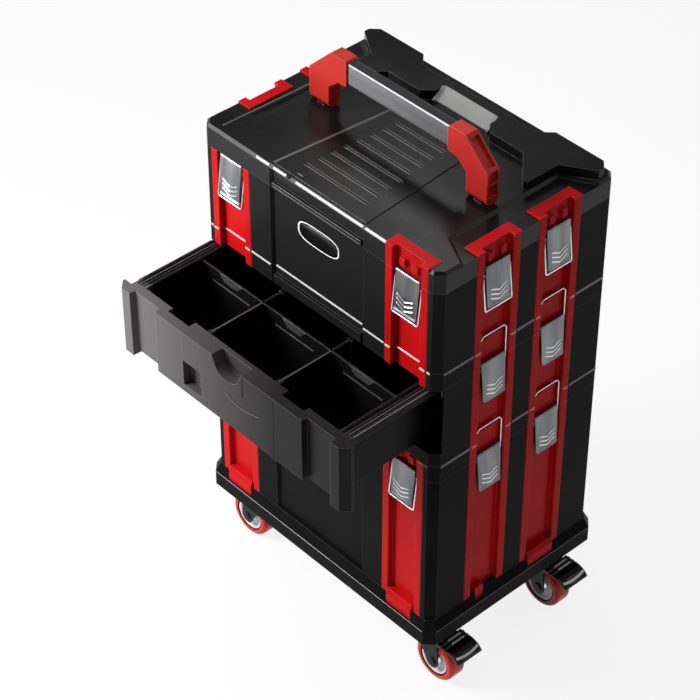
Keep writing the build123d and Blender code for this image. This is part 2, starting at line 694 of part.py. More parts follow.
with BuildPart() as top_lid:
    with BuildSketch(Plane.XY.offset(LID_SEAM_Z)):
        add(lid_outline)
    extrude(amount=RIM_HEIGHT)
    with BuildSketch(Plane.XY.offset(LID_SEAM_Z)):
        add(lip_plan())
    extrude(amount=LID_LIP)
    with BuildSketch(Plane.XY.offset(LID_EDGE_Z)):
        with BuildLine():
            Polyline(*slab_plan, close=True)
        make_face()
    extrude(amount=TOP_SLAB, taper=45)
    # Middle pad and its slots
    with BuildSketch(Plane.XY.offset(LID_TOP_Z)):
        with BuildLine():
            Polyline(*both_sides([(PAD_FRONT_X, PAD_FRONT_INSET - REAR), PAD_REAR]), close=True)
        make_face()
    extrude(amount=PAD_HEIGHT)
    with BuildSketch(Plane.XY.offset(LID_TOP_Z + PAD_HEIGHT)):
        for row in range(SLOT_COUNT):
            share = row / (SLOT_COUNT - 1)
            length = SLOT_FIRST_LENGTH + share * (SLOT_LAST_LENGTH - SLOT_FIRST_LENGTH)
            with Locations((0, SLOT_FIRST_Y + row * SLOT_PITCH)):
                SlotOverall(length, SLOT_WIDTH)
    extrude(amount=-SLOT_DEPTH, mode=Mode.SUBTRACT)
    # Rear platform, cut out at the front for the fingers
    with BuildSketch(Plane.XY.offset(LID_TOP_Z)):
        with BuildLine():
            Polyline(*platform_plan, close=True)
        make_face()
    extrude(amount=PLATFORM_HEIGHT)
    with BuildSketch(Plane.XY.offset(LID_TOP_Z)):
        with BuildLine():
            scoop_mouth = (SCOOP_HALF + SCOOP_MOUTH, PLATFORM_FRONT_Y)
            scoop_floor = (SCOOP_HALF, SCOOP_FLOOR_Y)
            Polyline(*both_sides([scoop_mouth, scoop_floor]), close=True)
        make_face()
    extrude(amount=PLATFORM_HEIGHT, mode=Mode.SUBTRACT)
    with BuildSketch(side_plane(-SCOOP_HALF, SCOOP_FLOOR_Y, LID_TOP_Z)):
        with BuildLine():
            Polyline((0, 0), (SCOOP_RUN, PLATFORM_HEIGHT), (0, PLATFORM_HEIGHT), close=True)
        make_face()
    extrude(amount=2 * SCOOP_HALF, mode=Mode.SUBTRACT)
    # Lugs that carry the handle
    with BuildSketch(post_section(LUG_X - LUG_WIDTH / 2), post_section(-LUG_X - LUG_WIDTH / 2)):
        Circle(LUG_RADIUS)
        with Locations((0, -PIVOT_LIFT)):
            Rectangle(2 * LUG_RADIUS, PIVOT_LIFT, align=(Align.CENTER, Align.MIN))
        Circle(HANDLE_PIN_RADIUS + RUNNING_FIT, mode=Mode.SUBTRACT)
    extrude(amount=LUG_WIDTH)
    # Seat for the front cap
    with BuildSketch(plan_plane(FRONT_RIGHT, LID_EDGE_Z)):
        Rectangle(CHANNEL_WIDTH, 2 * CAP_DEPTH)
    extrude(amount=TOP_SLAB, mode=Mode.SUBTRACT)
    # Hollow inside, and two deeper hollows under the platform
    with BuildSketch(Plane.XY.offset(LID_SEAM_Z)):
        add(lid_hollow)
    extrude(amount=RIM_HEIGHT - WALL, mode=Mode.SUBTRACT)
    with BuildSketch(Plane.XY.offset(LID_SEAM_Z)):
        hollow_x = SCOOP_HALF + SCOOP_MOUTH + PLATFORM_SCOOP_WALL
        hollow_y = PLATFORM_FRONT_Y + PLATFORM_FRONT_WALL
        with Locations((hollow_x, hollow_y)):
            hollow_depth = PLATFORM_NOTCH_Y - WALL - hollow_y
            Rectangle(PLATFORM_HOLLOW_X - hollow_x, hollow_depth, align=(Align.MIN, Align.MIN))
        mirror(about=Plane.YZ)
    extrude(amount=PLATFORM_Z - WALL - LID_SEAM_Z, mode=Mode.SUBTRACT)
    # Moving knuckles of the rear hinge
    with BuildSketch(*[hinge_section(x - HINGE_INNER / 2 + GAP) for x in HINGE_X]):
        Circle(HINGE_RADIUS)
        with BuildLine():
            Polyline((-HINGE_STAND_OFF, 0), (-HINGE_STAND_OFF, HINGE_WEB + HINGE_RADIUS),
                     (0, HINGE_WEB), (HINGE_RADIUS, 0), close=True)
        make_face()
        Circle(HINGE_PIN_RADIUS + RUNNING_FIT, mode=Mode.SUBTRACT)
    extrude(amount=HINGE_INNER - 2 * GAP)

top_lid.part.label = "top_lid"
export_step(top_lid.part, "parts/top_lid.step")

# Section of the red channel insert, with the recess for a latch between two flanges
with BuildSketch() as channel_section:
    with BuildLine():
        Polyline(*both_sides([
            (RECESS_WIDTH / 2, CHANNEL_RECESS),
            (RECESS_WIDTH / 2, CHANNEL_EDGE - CHANNEL_PROUD),
            (RECESS_WIDTH / 2 + CHANNEL_EDGE, -CHANNEL_PROUD),
            (CHANNEL_WIDTH / 2 - CHANNEL_EDGE, -CHANNEL_PROUD),
            (CHANNEL_WIDTH / 2, CHANNEL_EDGE - CHANNEL_PROUD),
            (CHANNEL_WIDTH / 2, POCKET),
        ]), close=True)
    make_face()


def channel_planes(spots, z):
    return [plan_plane(spot, z) for spot in spots]


# Inserts of the fixed modules, with the ledges that the raised bails hook on
CATCH_TOP = BAIL_LENGTH - BAIL_DROP - BAIL_RADIUS - GAP
CATCH_STATIONS = STATIONS[HANGING_COUNT:]

with BuildPart() as body_channels:
    for spots, z, height in (
        (ALL_SPOTS, CASE_HEIGHT, DEEP_SHELL_HEIGHT),
        (ALL_SPOTS, DEEP_COVER_Z, RIM_HEIGHT),
        (SIDE_SPOTS, DRAWER_UNIT_Z, UNIT_SHELL_HEIGHT),
        (ALL_SPOTS, UNIT_COVER_Z, RIM_HEIGHT),
        (ALL_SPOTS, TOP_BOX_Z, TOP_SHELL_HEIGHT),
    ):
        with BuildSketch(*channel_planes(spots, z)):
            add(channel_section.sketch)
        extrude(amount=height - SEAM_GAP)
    with BuildSketch(*[pin_section(spot, z) for spot, z in CATCH_STATIONS]):
        with BuildLine():
            Polyline(
                (-PIN_LIFT, CATCH_TOP),
                (CATCH_REACH - PIN_LIFT, CATCH_TOP),
                (CATCH_REACH - PIN_LIFT, CATCH_TOP - CATCH_HEIGHT / 3),
                (-PIN_LIFT, CATCH_TOP - CATCH_HEIGHT),
                close=True,
            )
        make_face()
    extrude(amount=CATCH_WIDTH / 2, both=True)
    with BuildSketch(*channel_planes(FRONT_SPOTS, DEEP_COVER_Z + LUG_PAIR_LIFT)):
        with Locations((-LUG_PAIR / 2, CHANNEL_RECESS), (LUG_PAIR / 2, CHANNEL_RECESS)):
            Rectangle(LUG_PAIR_WIDTH, LUG_PAIR_REACH, align=(Align.CENTER, Align.MAX))
    extrude(amount=LUG_PAIR_HEIGHT)

body_channels.part.label = "body_channels"
export_step(body_channels.part, "parts/body_channels.step")

# Inserts and caps of the lid
LID_SPOTS = SIDE_SPOTS + (FRONT_RIGHT,)


def cap_plan():
    with BuildSketch() as plan:
        with BuildLine():
            Polyline(*both_sides([
                (RECESS_WIDTH / 2, CHANNEL_RECESS),
                (RECESS_WIDTH / 2, -CHANNEL_PROUD),
                (CHANNEL_WIDTH / 2, -CHANNEL_PROUD),
                (CHANNEL_WIDTH / 2, CAP_DEPTH),
            ]), close=True)
        make_face()
    return plan.sketch


with BuildPart() as lid_caps:
    with BuildSketch(*channel_planes(LID_SPOTS, LID_SEAM_Z)):
        add(channel_section.sketch)
    extrude(amount=RIM_HEIGHT)
    with BuildSketch(*channel_planes(SIDE_SPOTS, LID_EDGE_Z)):
        add(cap_plan())
    extrude(amount=CAP_THICKNESS)
    with BuildSketch(plan_plane(FRONT_RIGHT, LID_EDGE_Z)):
        add(cap_plan())
    extrude(amount=FRONT_CAP_THICKNESS)
    with BuildSketch(*channel_planes(LID_SPOTS, LID_SEAM_Z + LUG_PAIR_LIFT)):
        with Locations((-LUG_PAIR / 2, CHANNEL_RECESS), (LUG_PAIR / 2, CHANNEL_RECESS)):
            Rectangle(LUG_PAIR_WIDTH, LUG_PAIR_REACH, align=(Align.CENTER, Align.MAX))
    extrude(amount=LUG_PAIR_HEIGHT)

lid_caps.part.label = "lid_caps"
export_step(lid_caps.part, "parts/lid_caps.step")

# Latch brackets with their pins
with BuildPart() as latch_brackets:
    with BuildSketch(*[pin_section(spot, z) for spot, z in STATIONS]):
        Circle(KNUCKLE_RADIUS)
        with BuildLine():
            Polyline(
                (0, PIN_DROP / 2),
                (-PIN_LIFT, PIN_DROP / 2),
                (-PIN_LIFT, -BRACKET_FOOT),
                (LEVER_SHEET - PIN_LIFT, -BRACKET_FOOT),
                (LEVER_SHEET - PIN_LIFT, -KNUCKLE_RADIUS),
                (0, -KNUCKLE_RADIUS),
                close=True,
            )
        make_face()
    extrude(amount=BRACKET_WIDTH / 2, both=True)
    with BuildSketch(*[pin_section(spot, z) for spot, z in STATIONS]):
        Circle(PIN_RADIUS)
    extrude(amount=LEVER_WIDTH / 2, both=True)

latch_brackets.part.label = "latch_brackets"
export_step(latch_brackets.part, "parts/latch_brackets.step")


# One latch lever: sheet with a rolled knuckle, two side flanges and raised chevrons
def make_lever(spot, z):
    section = pin_section(spot, z)
    half = LEVER_WIDTH / 2
    foot_x = KNUCKLE_RADIUS + LEVER_TILT
    slope = Vector(*outward(spot)) * LEVER_LENGTH + Vector(0, 0, LEVER_TILT)
    knuckle_edge = section.from_local_coords((KNUCKLE_RADIUS, 0, 0))
    sheet_face = Plane(origin=knuckle_edge, x_dir=spot[2], z_dir=slope)
    with BuildPart() as lever:
        with BuildSketch(section):
            Circle(KNUCKLE_RADIUS)
            with BuildLine():
                Polyline(
                    (KNUCKLE_RADIUS, 0),
                    (foot_x, -LEVER_LENGTH),
                    (foot_x - LEVER_SHEET, -LEVER_LENGTH),
                    (KNUCKLE_RADIUS - LEVER_SHEET, 0),
                    close=True,
                )
            make_face()
        extrude(amount=half, both=True)
        with BuildSketch(section.offset(half - LEVER_SHEET), section.offset(-half)):
            with BuildLine():
                Polyline(
                    (-LEVER_FLANGE_REACH, 0),
                    (KNUCKLE_RADIUS - LEVER_SHEET / 2, 0),
                    (KNUCKLE_RADIUS + LEVER_SHEET / 2, -LEVER_FLANGE),
                    (-LEVER_FLANGE_REACH, -BAIL_DROP - KNUCKLE_RADIUS),
                    close=True,
                )
            make_face()
        extrude(amount=LEVER_SHEET)
        with BuildSketch(sheet_face):
            for row in range(CHEVRON_COUNT):
                low = CHEVRON_LOWEST + row * CHEVRON_PITCH
                high = low + CHEVRON_RISE
                with BuildLine():
                    Polyline(
                        (0, low),
                        (CHEVRON_HALF_WIDTH, high),
                        (CHEVRON_HALF_WIDTH, high + CHEVRON_THICKNESS),
                        (0, low + CHEVRON_THICKNESS),
                        (-CHEVRON_HALF_WIDTH, high + CHEVRON_THICKNESS),
                        (-CHEVRON_HALF_WIDTH, high),
                        close=True,
                    )
                make_face()
        extrude(amount=CHEVRON_HEIGHT)
        with BuildSketch(sheet_face):
            with Locations((half, -LEVER_LENGTH), (-half, -LEVER_LENGTH)):
                RegularPolygon(LEVER_CORNER, 4)
        extrude(amount=2 * LEVER_SHEET, both=True, mode=Mode.SUBTRACT)
        with BuildSketch(section):
            with Locations((0, -BAIL_DROP)):
                Circle(BAIL_RADIUS + RUNNING_FIT)
            Circle(PIN_RADIUS + RUNNING_FIT)
        extrude(amount=half, both=True, mode=Mode.SUBTRACT)
        with BuildSketch(section):
            with Locations((0, -LEVER_NOTCH)):
                Rectangle(4 * KNUCKLE_RADIUS, 2 * LEVER_NOTCH, align=(Align.CENTER, Align.MIN))
        extrude(amount=BRACKET_WIDTH / 2 + SIDE_PLAY, both=True, mode=Mode.SUBTRACT)
    return lever.part


# One wire bail, hanging down or raised to the ledge above
def make_bail(spot, z, way):
    end = -BAIL_DROP + way * BAIL_LENGTH
    bend = end - way * BAIL_BEND
    stub = LEVER_WIDTH / 2 - LEVER_SHEET
    with BuildPart() as bail:
        with BuildLine(pin_face(spot, z)) as wire:
            Polyline(
                (-stub, -BAIL_DROP),
                (-BAIL_LEG, -BAIL_DROP),
                (-BAIL_LEG, bend),
                (BAIL_BEND - BAIL_LEG, end),
                (BAIL_LEG - BAIL_BEND, end),
                (BAIL_LEG, bend),
                (BAIL_LEG, -BAIL_DROP),
                (stub, -BAIL_DROP),
            )
        with BuildSketch(Plane(origin=wire.line @ 0, z_dir=wire.line % 0)):
            RegularPolygon(BAIL_RADIUS, BAIL_SIDES)
        sweep(path=wire.line, transition=Transition.RIGHT)
    return bail.part


for number, (spot, z) in enumerate(STATIONS, start=1):
    lever = make_lever(spot, z)
    lever.label = f"latch_lever_{number}"
    export_step(lever, f"parts/latch_lever_{number}.step")
    bail = make_bail(spot, z, -1 if number <= HANGING_COUNT else 1)
    bail.label = f"latch_bail_{number}"
    export_step(bail, f"parts/latch_bail_{number}.step")

# Handle posts with their pins, slotted over the lid's lugs
post_plan = [
    (POST_OUTER_X, 0),
    (POST_INNER_X, 0),
    (POST_INNER_X, POST_NECK_BOTTOM - PIVOT_LIFT),
    (POST_NECK_X, POST_HEAD_BOTTOM - POST_HEAD_SLOPE - PIVOT_LIFT),
    (POST_HEAD_X, POST_HEAD_BOTTOM - PIVOT_LIFT),
    (POST_HEAD_X, HANDLE_HEIGHT - PIVOT_LIFT),
    (POST_TOP_OUTER_X, HANDLE_HEIGHT - PIVOT_LIFT),
    (POST_OUTER_X, POST_SHOULDER - PIVOT_LIFT),
]
POST_FRONT_WALL = POST_THICKNESS / 2 - LUG_RADIUS - POST_CLEARANCE
POST_SLOT = LUG_WIDTH + 2 * SIDE_PLAY
SLOT_HEIGHT = POST_THICKNESS + LUG_RADIUS + POST_CLEARANCE
BAR_MIDDLE = (POST_HEAD_BOTTOM + HANDLE_HEIGHT) / 2 - PIVOT_LIFT
SHOULDER_RUN = POST_OUTER_X - POST_TOP_OUTER_X
SHOULDER_RISE = HANDLE_HEIGHT - POST_SHOULDER
SHOULDER_LENGTH = hypot(SHOULDER_RUN, SHOULDER_RISE)


def bar_section(x, side):
    middle = (side * x, HANDLE_PIVOT_Y, PIVOT_Z + BAR_MIDDLE)
    return Plane(origin=middle, x_dir=(0, side, 0), z_dir=(side, 0, 0))


def make_post():
    upright = front_plane(0, HANDLE_PIVOT_Y, PIVOT_Z)
    shoulder_x = (POST_OUTER_X + POST_TOP_OUTER_X) / 2
    shoulder_z = LID_TOP_Z + (POST_SHOULDER + HANDLE_HEIGHT) / 2
    shoulder_face = Plane(
        origin=(shoulder_x, HANDLE_PIVOT_Y, shoulder_z),
        x_dir=(0, 1, 0),
        z_dir=(SHOULDER_RISE, 0, SHOULDER_RUN),
    )
    pocket_width = POST_THICKNESS - 2 * POST_RIB
    pocket_height = (POST_SHOULDER - PIVOT_LIFT - 2 * POST_RIB) / 2
    with BuildPart() as post:
        with BuildSketch(upright) as outline:
            with BuildLine():
                Polyline(*post_plan, close=True)
            make_face()
            upper = [corner for corner in outline.vertices() if corner.Y > POST_ROUNDING]
            fillet(upper, POST_ROUNDING)
        extrude(amount=POST_THICKNESS / 2, both=True)
        with BuildSketch(post_section(POST_INNER_X)):
            Circle(POST_THICKNESS / 2)
        extrude(amount=POST_OUTER_X - POST_INNER_X)
        # Pockets that leave ribs on the outer faces
        with BuildSketch(post_section(POST_OUTER_X)):
            for row in range(2):
                with Locations((0, POST_RIB + pocket_height / 2 + row * (pocket_height + POST_RIB))):
                    Rectangle(pocket_width, pocket_height)
        extrude(amount=-POST_POCKET, mode=Mode.SUBTRACT)
        with BuildSketch(shoulder_face):
            Rectangle(pocket_width, SHOULDER_LENGTH - 4 * POST_RIB)
        extrude(amount=-POST_POCKET, mode=Mode.SUBTRACT)
        # Slot for the lug, open below and behind
        with BuildSketch(post_section(LUG_X - POST_SLOT / 2)):
            with Locations((POST_FRONT_WALL - POST_THICKNESS / 2, -POST_THICKNESS)):
                Rectangle(POST_THICKNESS, SLOT_HEIGHT, align=(Align.MIN, Align.MIN))
        extrude(amount=POST_SLOT, mode=Mode.SUBTRACT)
        with BuildSketch(post_section(POST_INNER_X)):
            Circle(HANDLE_PIN_RADIUS)
        extrude(amount=POST_OUTER_X - POST_INNER_X)
        # Socket for the bar
        with BuildSketch(bar_section(POST_HEAD_X, 1)):
            RectangleRounded(BAR_DEPTH, BAR_HEIGHT, BAR_ROUNDING)
        extrude(amount=BAR_INSERT, mode=Mode.SUBTRACT)
    return post.part


with BuildPart() as handle_posts:
    add(make_post())
    mirror(about=Plane.YZ)

handle_posts.part.label = "handle_posts"
export_step(handle_posts.part, "parts/handle_posts.step")

with BuildPart() as handle_bar:
    with BuildSketch(bar_section(POST_HEAD_X + BAR_INSERT, -1)):
        RectangleRounded(BAR_DEPTH, BAR_HEIGHT, BAR_ROUNDING)
        RectangleRounded(BAR_DEPTH - 2 * BAR_WALL, BAR_HEIGHT - 2 * BAR_WALL, BAR_ROUNDING - BAR_WALL,
                         mode=Mode.SUBTRACT)
    extrude(amount=-2 * (POST_HEAD_X + BAR_INSERT))

handle_bar.part.label = "handle_bar"
export_step(handle_bar.part, "parts/handle_bar.step")

# Dolly under the stack: bevelled rim, ribbed underside and four caster pads
DOLLY_BOTTOM_Z = CASE_HEIGHT - DOLLY_BEVEL - DOLLY_RIM
DOLLY_DECK_Z = CASE_HEIGHT - DOLLY_DECK
CASTERS = ((1, -1), (1, 1), (-1, -1), (-1, 1))
CASTER_X = RIGHT - CASTER_SIDE_INSET
CASTER_Y = REAR - CASTER_END_INSET
PADS = [(sx * CASTER_X, sy * CASTER_Y) for sx, sy in CASTERS]
CLASP_BOTTOM = CASE_HEIGHT - CLASP_DROP
CLASP_SPOTS = (FRONT_RIGHT, FRONT_LEFT, RIGHT_REAR, LEFT_REAR)
LUG_SPOTS = (RIGHT_FRONT, LEFT_FRONT)


def lug_place(spot):
    # The small lug stands towards the front of its channel
    return FOOT_LUG_SHIFT * spot[2][1]


with BuildPart() as dolly_frame:
    with BuildSketch(Plane.XY.offset(DOLLY_BOTTOM_Z)) as rim:
        Rectangle(WIDTH + 2 * DOLLY_OVERHANG, DEPTH + 2 * DOLLY_OVERHANG)
        chamfer(rim.vertices(), DOLLY_CORNER)
    extrude(amount=DOLLY_RIM)
    with BuildSketch(Plane.XY.offset(DOLLY_BOTTOM_Z + DOLLY_RIM)) as shoulder:
        Rectangle(WIDTH + 2 * DOLLY_OVERHANG, DEPTH + 2 * DOLLY_OVERHANG)
        chamfer(shoulder.vertices(), DOLLY_CORNER)
    extrude(amount=DOLLY_BEVEL, taper=degrees(atan2(DOLLY_OVERHANG, DOLLY_BEVEL)))
    with BuildSketch(Plane.XY.offset(DOLLY_BOTTOM_Z)) as cavity:
        Rectangle(WIDTH - DOLLY_SIDE, DEPTH - DOLLY_SIDE)
        chamfer(cavity.vertices(), CORNER)
    extrude(amount=DOLLY_DECK_Z - DOLLY_BOTTOM_Z, mode=Mode.SUBTRACT)
    with BuildSketch(Plane.XY.offset(DOLLY_DECK_Z - DOLLY_RIB_HEIGHT)):
        for y in (-CASTER_Y / 2, 0, CASTER_Y / 2):
            with Locations((0, y)):
                Rectangle(WIDTH - DOLLY_SIDE, DOLLY_RIB)
        for x in (-CASTER_X / 2, 0, CASTER_X / 2):
            with Locations((x, 0)):
                Rectangle(DOLLY_RIB, DEPTH - DOLLY_SIDE)
    extrude(amount=DOLLY_RIB_HEIGHT)
    with BuildSketch(Plane.XY.offset(CASTER_HEIGHT)):
        with Locations(*PADS):
            Rectangle(PAD_LENGTH, PAD_WIDTH)
    extrude(amount=DOLLY_DECK_Z - CASTER_HEIGHT)
    # Notches for the clasps and the small lugs
    with BuildSketch(*channel_planes(CLASP_SPOTS, CLASP_BOTTOM - CLASP_PLAY)):
        with Locations((0, CHANNEL_RECESS + CLASP_PLAY)):
            Rectangle(CLASP_WIDTH + 2 * CLASP_PLAY, 2 * POCKET, align=(Align.CENTER, Align.MAX))
    extrude(amount=CLASP_HEIGHT, mode=Mode.SUBTRACT)
    for spot in LUG_SPOTS:
        with BuildSketch(plan_plane(spot, CLASP_BOTTOM - CLASP_PLAY)):
            with Locations((lug_place(spot), CHANNEL_RECESS + CLASP_PLAY)):
                notch_width = FOOT_LUG_WIDTH + 2 * CLASP_PLAY
                Rectangle(notch_width, 2 * POCKET, align=(Align.CENTER, Align.MAX))
        extrude(amount=CLASP_HEIGHT, mode=Mode.SUBTRACT)

dolly_frame.part.label = "dolly_frame"
export_step(dolly_frame.part, "parts/dolly_frame.step")

# Red clasps that tie the deep box to the dolly
with BuildPart() as dolly_clasps:
    with BuildSketch(*[pin_section(spot, CLASP_BOTTOM) for spot in CLASP_SPOTS]):
        with BuildLine():
            Polyline(
                (-PIN_LIFT, 0),
                (CHANNEL_RECESS - PIN_LIFT + CLASP_REACH, 0),
                (CHANNEL_RECESS - PIN_LIFT + CLASP_REACH, CLASP_HEIGHT - 3 * CLASP_BEVEL),
                (CHANNEL_RECESS - PIN_LIFT + CLASP_REACH - CLASP_BEVEL, CLASP_HEIGHT),
                (-PIN_LIFT, CLASP_HEIGHT),
                close=True,
            )
        make_face()
    extrude(amount=CLASP_WIDTH / 2, both=True)
    for spot in LUG_SPOTS:
        with BuildSketch(plan_plane(spot, CLASP_BOTTOM)):
            with Locations((lug_place(spot), CHANNEL_RECESS)):
                lug_reach = CHANNEL_RECESS + FOOT_LUG_REACH
                Rectangle(FOOT_LUG_WIDTH, lug_reach, align=(Align.CENTER, Align.MAX))
        extrude(amount=CLASP_HEIGHT)

dolly_clasps.part.label = "dolly_clasps"
export_step(dolly_clasps.part, "parts/dolly_clasps.step")

# Fixed halves of the casters: plate, race and kingpin
RACE_BOTTOM_Z = CASTER_HEIGHT - PLATE - RACE
CROWN_TOP_Z = RACE_BOTTOM_Z - GAP
CROWN_BOTTOM_Z = CROWN_TOP_Z - CROWN
HEAD_TOP_Z = CROWN_BOTTOM_Z - GAP
FORK_INNER = WHEEL_WIDTH / 2 + FORK_PLAY
PEDAL_PIVOT = (PEDAL_PIVOT_X, 2 * WHEEL_RADIUS + PEDAL_WHEEL_SPACE)
TREAD_Z = PEDAL_PIVOT[1] + TREAD_LIFT

with BuildPart() as caster_plates:
    with BuildSketch(*[level(x, y, CASTER_HEIGHT - PLATE) for x, y in PADS]):
        Rectangle(PAD_LENGTH - 2 * PAD_BORDER, PAD_WIDTH - 2 * PAD_BORDER)
    extrude(amount=PLATE)
    with BuildSketch(*[level(x, y, RACE_BOTTOM_Z) for x, y in PADS]):
        Circle(RACE_RADIUS)
    extrude(amount=RACE)
    with BuildSketch(*[level(x, y, HEAD_TOP_Z) for x, y in PADS]):
        Circle(KINGPIN_RADIUS)
    extrude(amount=RACE_BOTTOM_Z - HEAD_TOP_Z)
    with BuildSketch(*[level(x, y, HEAD_TOP_Z - KINGPIN_HEAD_THICKNESS) for x, y in PADS]):
        Circle(KINGPIN_HEAD)
    extrude(amount=KINGPIN_HEAD_THICKNESS)

caster_plates.part.label = "caster_plates"
export_step(caster_plates.part, "parts/caster_plates.step")


def caster_section(sx, sy):
    # Local x runs outwards from the swivel axis and local y up from the floor
    return Plane(origin=(sx * CASTER_X, sy * CASTER_Y, 0), x_dir=(sx, 0, 0), z_dir=(0, -sx, 0))


# One swivelling fork with its axle, and ears for the pedal where there is one
def make_fork(sx, sy, braked):
    section = caster_section(sx, sy)
    legs = (section.offset(FORK_INNER), section.offset(-FORK_INNER - FORK_SHEET))
    with BuildPart() as fork:
        with BuildSketch(level(sx * CASTER_X, sy * CASTER_Y, CROWN_BOTTOM_Z)):
            Circle(CROWN_RADIUS)
            Circle(KINGPIN_RADIUS + RUNNING_FIT, mode=Mode.SUBTRACT)
        extrude(amount=CROWN)
        with BuildSketch(*legs):
            with Locations((CASTER_TRAIL, WHEEL_RADIUS)):
                Circle(FORK_EYE)
            with BuildLine():
                Polyline(
                    (-FORK_TOP_HALF, CROWN_TOP_Z),
                    (FORK_TOP_HALF, CROWN_TOP_Z),
                    (PEDAL_PIVOT[0], PEDAL_PIVOT[1] + PEDAL_EAR),
                    (CASTER_TRAIL + FORK_EYE, WHEEL_RADIUS),
                    (CASTER_TRAIL - FORK_EYE, WHEEL_RADIUS),
                    (-FORK_TOP_HALF, CROWN_BOTTOM_Z - FORK_LEG_DROP),
                    close=True,
                )
            make_face()
            if braked:
                with Locations(PEDAL_PIVOT):
                    Circle(PEDAL_EAR)
        extrude(amount=FORK_SHEET)
        with BuildSketch(section):
            with Locations((CASTER_TRAIL, WHEEL_RADIUS)):
                Circle(AXLE_RADIUS)
            if braked:
                with Locations(PEDAL_PIVOT):
                    Circle(PEDAL_PIN_RADIUS)
        extrude(amount=FORK_INNER + FORK_SHEET, both=True)
        with BuildSketch(legs[0].offset(FORK_SHEET), legs[1].offset(-FORK_SHEET)):
            with Locations((CASTER_TRAIL, WHEEL_RADIUS)):
                Circle(AXLE_HEAD)
        extrude(amount=FORK_SHEET)
    return fork.part


# One wheel: rounded tyre, thin web and hub boss, turned about the axle
def make_wheel(sx, sy):
    hub = (sx * (CASTER_X + CASTER_TRAIL), sy * CASTER_Y, WHEEL_RADIUS)
    half = WHEEL_WIDTH / 2
    bore = AXLE_RADIUS + RUNNING_FIT
    with BuildPart() as wheel:
        with BuildSketch(side_plane(*hub)) as profile:
            with Locations((0, HUB_RADIUS)):
                Rectangle(WHEEL_WIDTH, WHEEL_RADIUS - HUB_RADIUS, align=(Align.CENTER, Align.MIN))
            fillet(profile.vertices().group_by(Axis.Y)[-1], TYRE_ROUNDING)
            with Locations((0, bore)):
                Rectangle(HUB_WEB, HUB_RADIUS - bore, align=(Align.CENTER, Align.MIN))
                Rectangle(2 * half, HUB_BOSS - bore, align=(Align.CENTER, Align.MIN))
        revolve(axis=Axis(hub, (0, 1, 0)))
    return wheel.part


# One brake pedal: barrel between the ears, wide tread with ribs and a rolled lip
def make_pedal(sx, sy):
    section = caster_section(sx, sy)
    with BuildPart() as pedal:
        with BuildSketch(section):
            with Locations(PEDAL_PIVOT):
                Circle(PEDAL_BARREL)
            with BuildLine():
                Line(PEDAL_PIVOT, (TREAD_START + TREAD, TREAD_Z))
                offset(amount=PEDAL_BARREL / 2, side=Side.BOTH)
            make_face()
        extrude(amount=PEDAL_NARROW / 2, both=True)
        with BuildSketch(section):
            with BuildLine():
                Line((TREAD_START, TREAD_Z), (TREAD_END, TREAD_Z))
                RadiusArc((TREAD_END, TREAD_Z), (LIP_END, TREAD_Z - LIP_DROP), LIP_RADIUS)
                offset(amount=TREAD / 2, side=Side.BOTH)
            make_face()
            with Locations(*[(x, TREAD_Z) for x in TREAD_RIBS]):
                Rectangle(TREAD, TREAD_RIB_HEIGHT, align=(Align.CENTER, Align.MIN))
        extrude(amount=PEDAL_WIDTH / 2, both=True)
        with BuildSketch(section):
            with Locations(PEDAL_PIVOT):
                Circle(PEDAL_PIN_RADIUS + RUNNING_FIT)
        extrude(amount=PEDAL_WIDTH / 2, both=True, mode=Mode.SUBTRACT)
    return pedal.part


for number, (sx, sy) in enumerate(CASTERS, start=1):
    braked = sx > 0
    fork = make_fork(sx, sy, braked)
    fork.label = f"caster_fork_{number}"
    export_step(fork, f"parts/caster_fork_{number}.step")
    wheel = make_wheel(sx, sy)
    wheel.label = f"caster_wheel_{number}"
    export_step(wheel, f"parts/caster_wheel_{number}.step")
    if braked:
        pedal = make_pedal(sx, sy)
        pedal.label = f"brake_pedal_{number}"
        export_step(pedal, f"parts/brake_pedal_{number}.step")
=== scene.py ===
import json
import math

import bmesh
import bpy
import numpy as np
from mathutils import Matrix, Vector


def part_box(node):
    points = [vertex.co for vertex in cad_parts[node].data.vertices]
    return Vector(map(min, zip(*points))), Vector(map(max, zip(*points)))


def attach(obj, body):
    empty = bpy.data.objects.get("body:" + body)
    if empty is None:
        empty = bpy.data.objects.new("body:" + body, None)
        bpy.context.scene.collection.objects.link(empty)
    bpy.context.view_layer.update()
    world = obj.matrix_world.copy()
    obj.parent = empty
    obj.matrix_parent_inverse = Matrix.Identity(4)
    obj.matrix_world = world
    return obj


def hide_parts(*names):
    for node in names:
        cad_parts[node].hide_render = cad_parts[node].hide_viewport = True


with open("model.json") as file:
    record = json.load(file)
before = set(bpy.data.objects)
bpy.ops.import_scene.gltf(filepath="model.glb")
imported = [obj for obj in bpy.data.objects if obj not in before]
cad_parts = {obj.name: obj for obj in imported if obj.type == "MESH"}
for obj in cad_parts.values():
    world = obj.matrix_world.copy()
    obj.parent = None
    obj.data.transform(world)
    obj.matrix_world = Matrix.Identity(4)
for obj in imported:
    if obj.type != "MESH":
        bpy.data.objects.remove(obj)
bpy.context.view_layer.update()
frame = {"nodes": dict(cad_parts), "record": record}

NODES = frame["nodes"]
JOINTS = {joint["name"]: joint for joint in frame["record"]["behaviour"]["joints"]}
MM = 0.001
UP = (0, 0, 1)

# Camera at the photograph's angle

CAMERA_PLACE = Vector((1.95433, -1.89769, 2.74520))
CAMERA_TARGET = Vector((-0.05136, -0.05600, 0.43350))

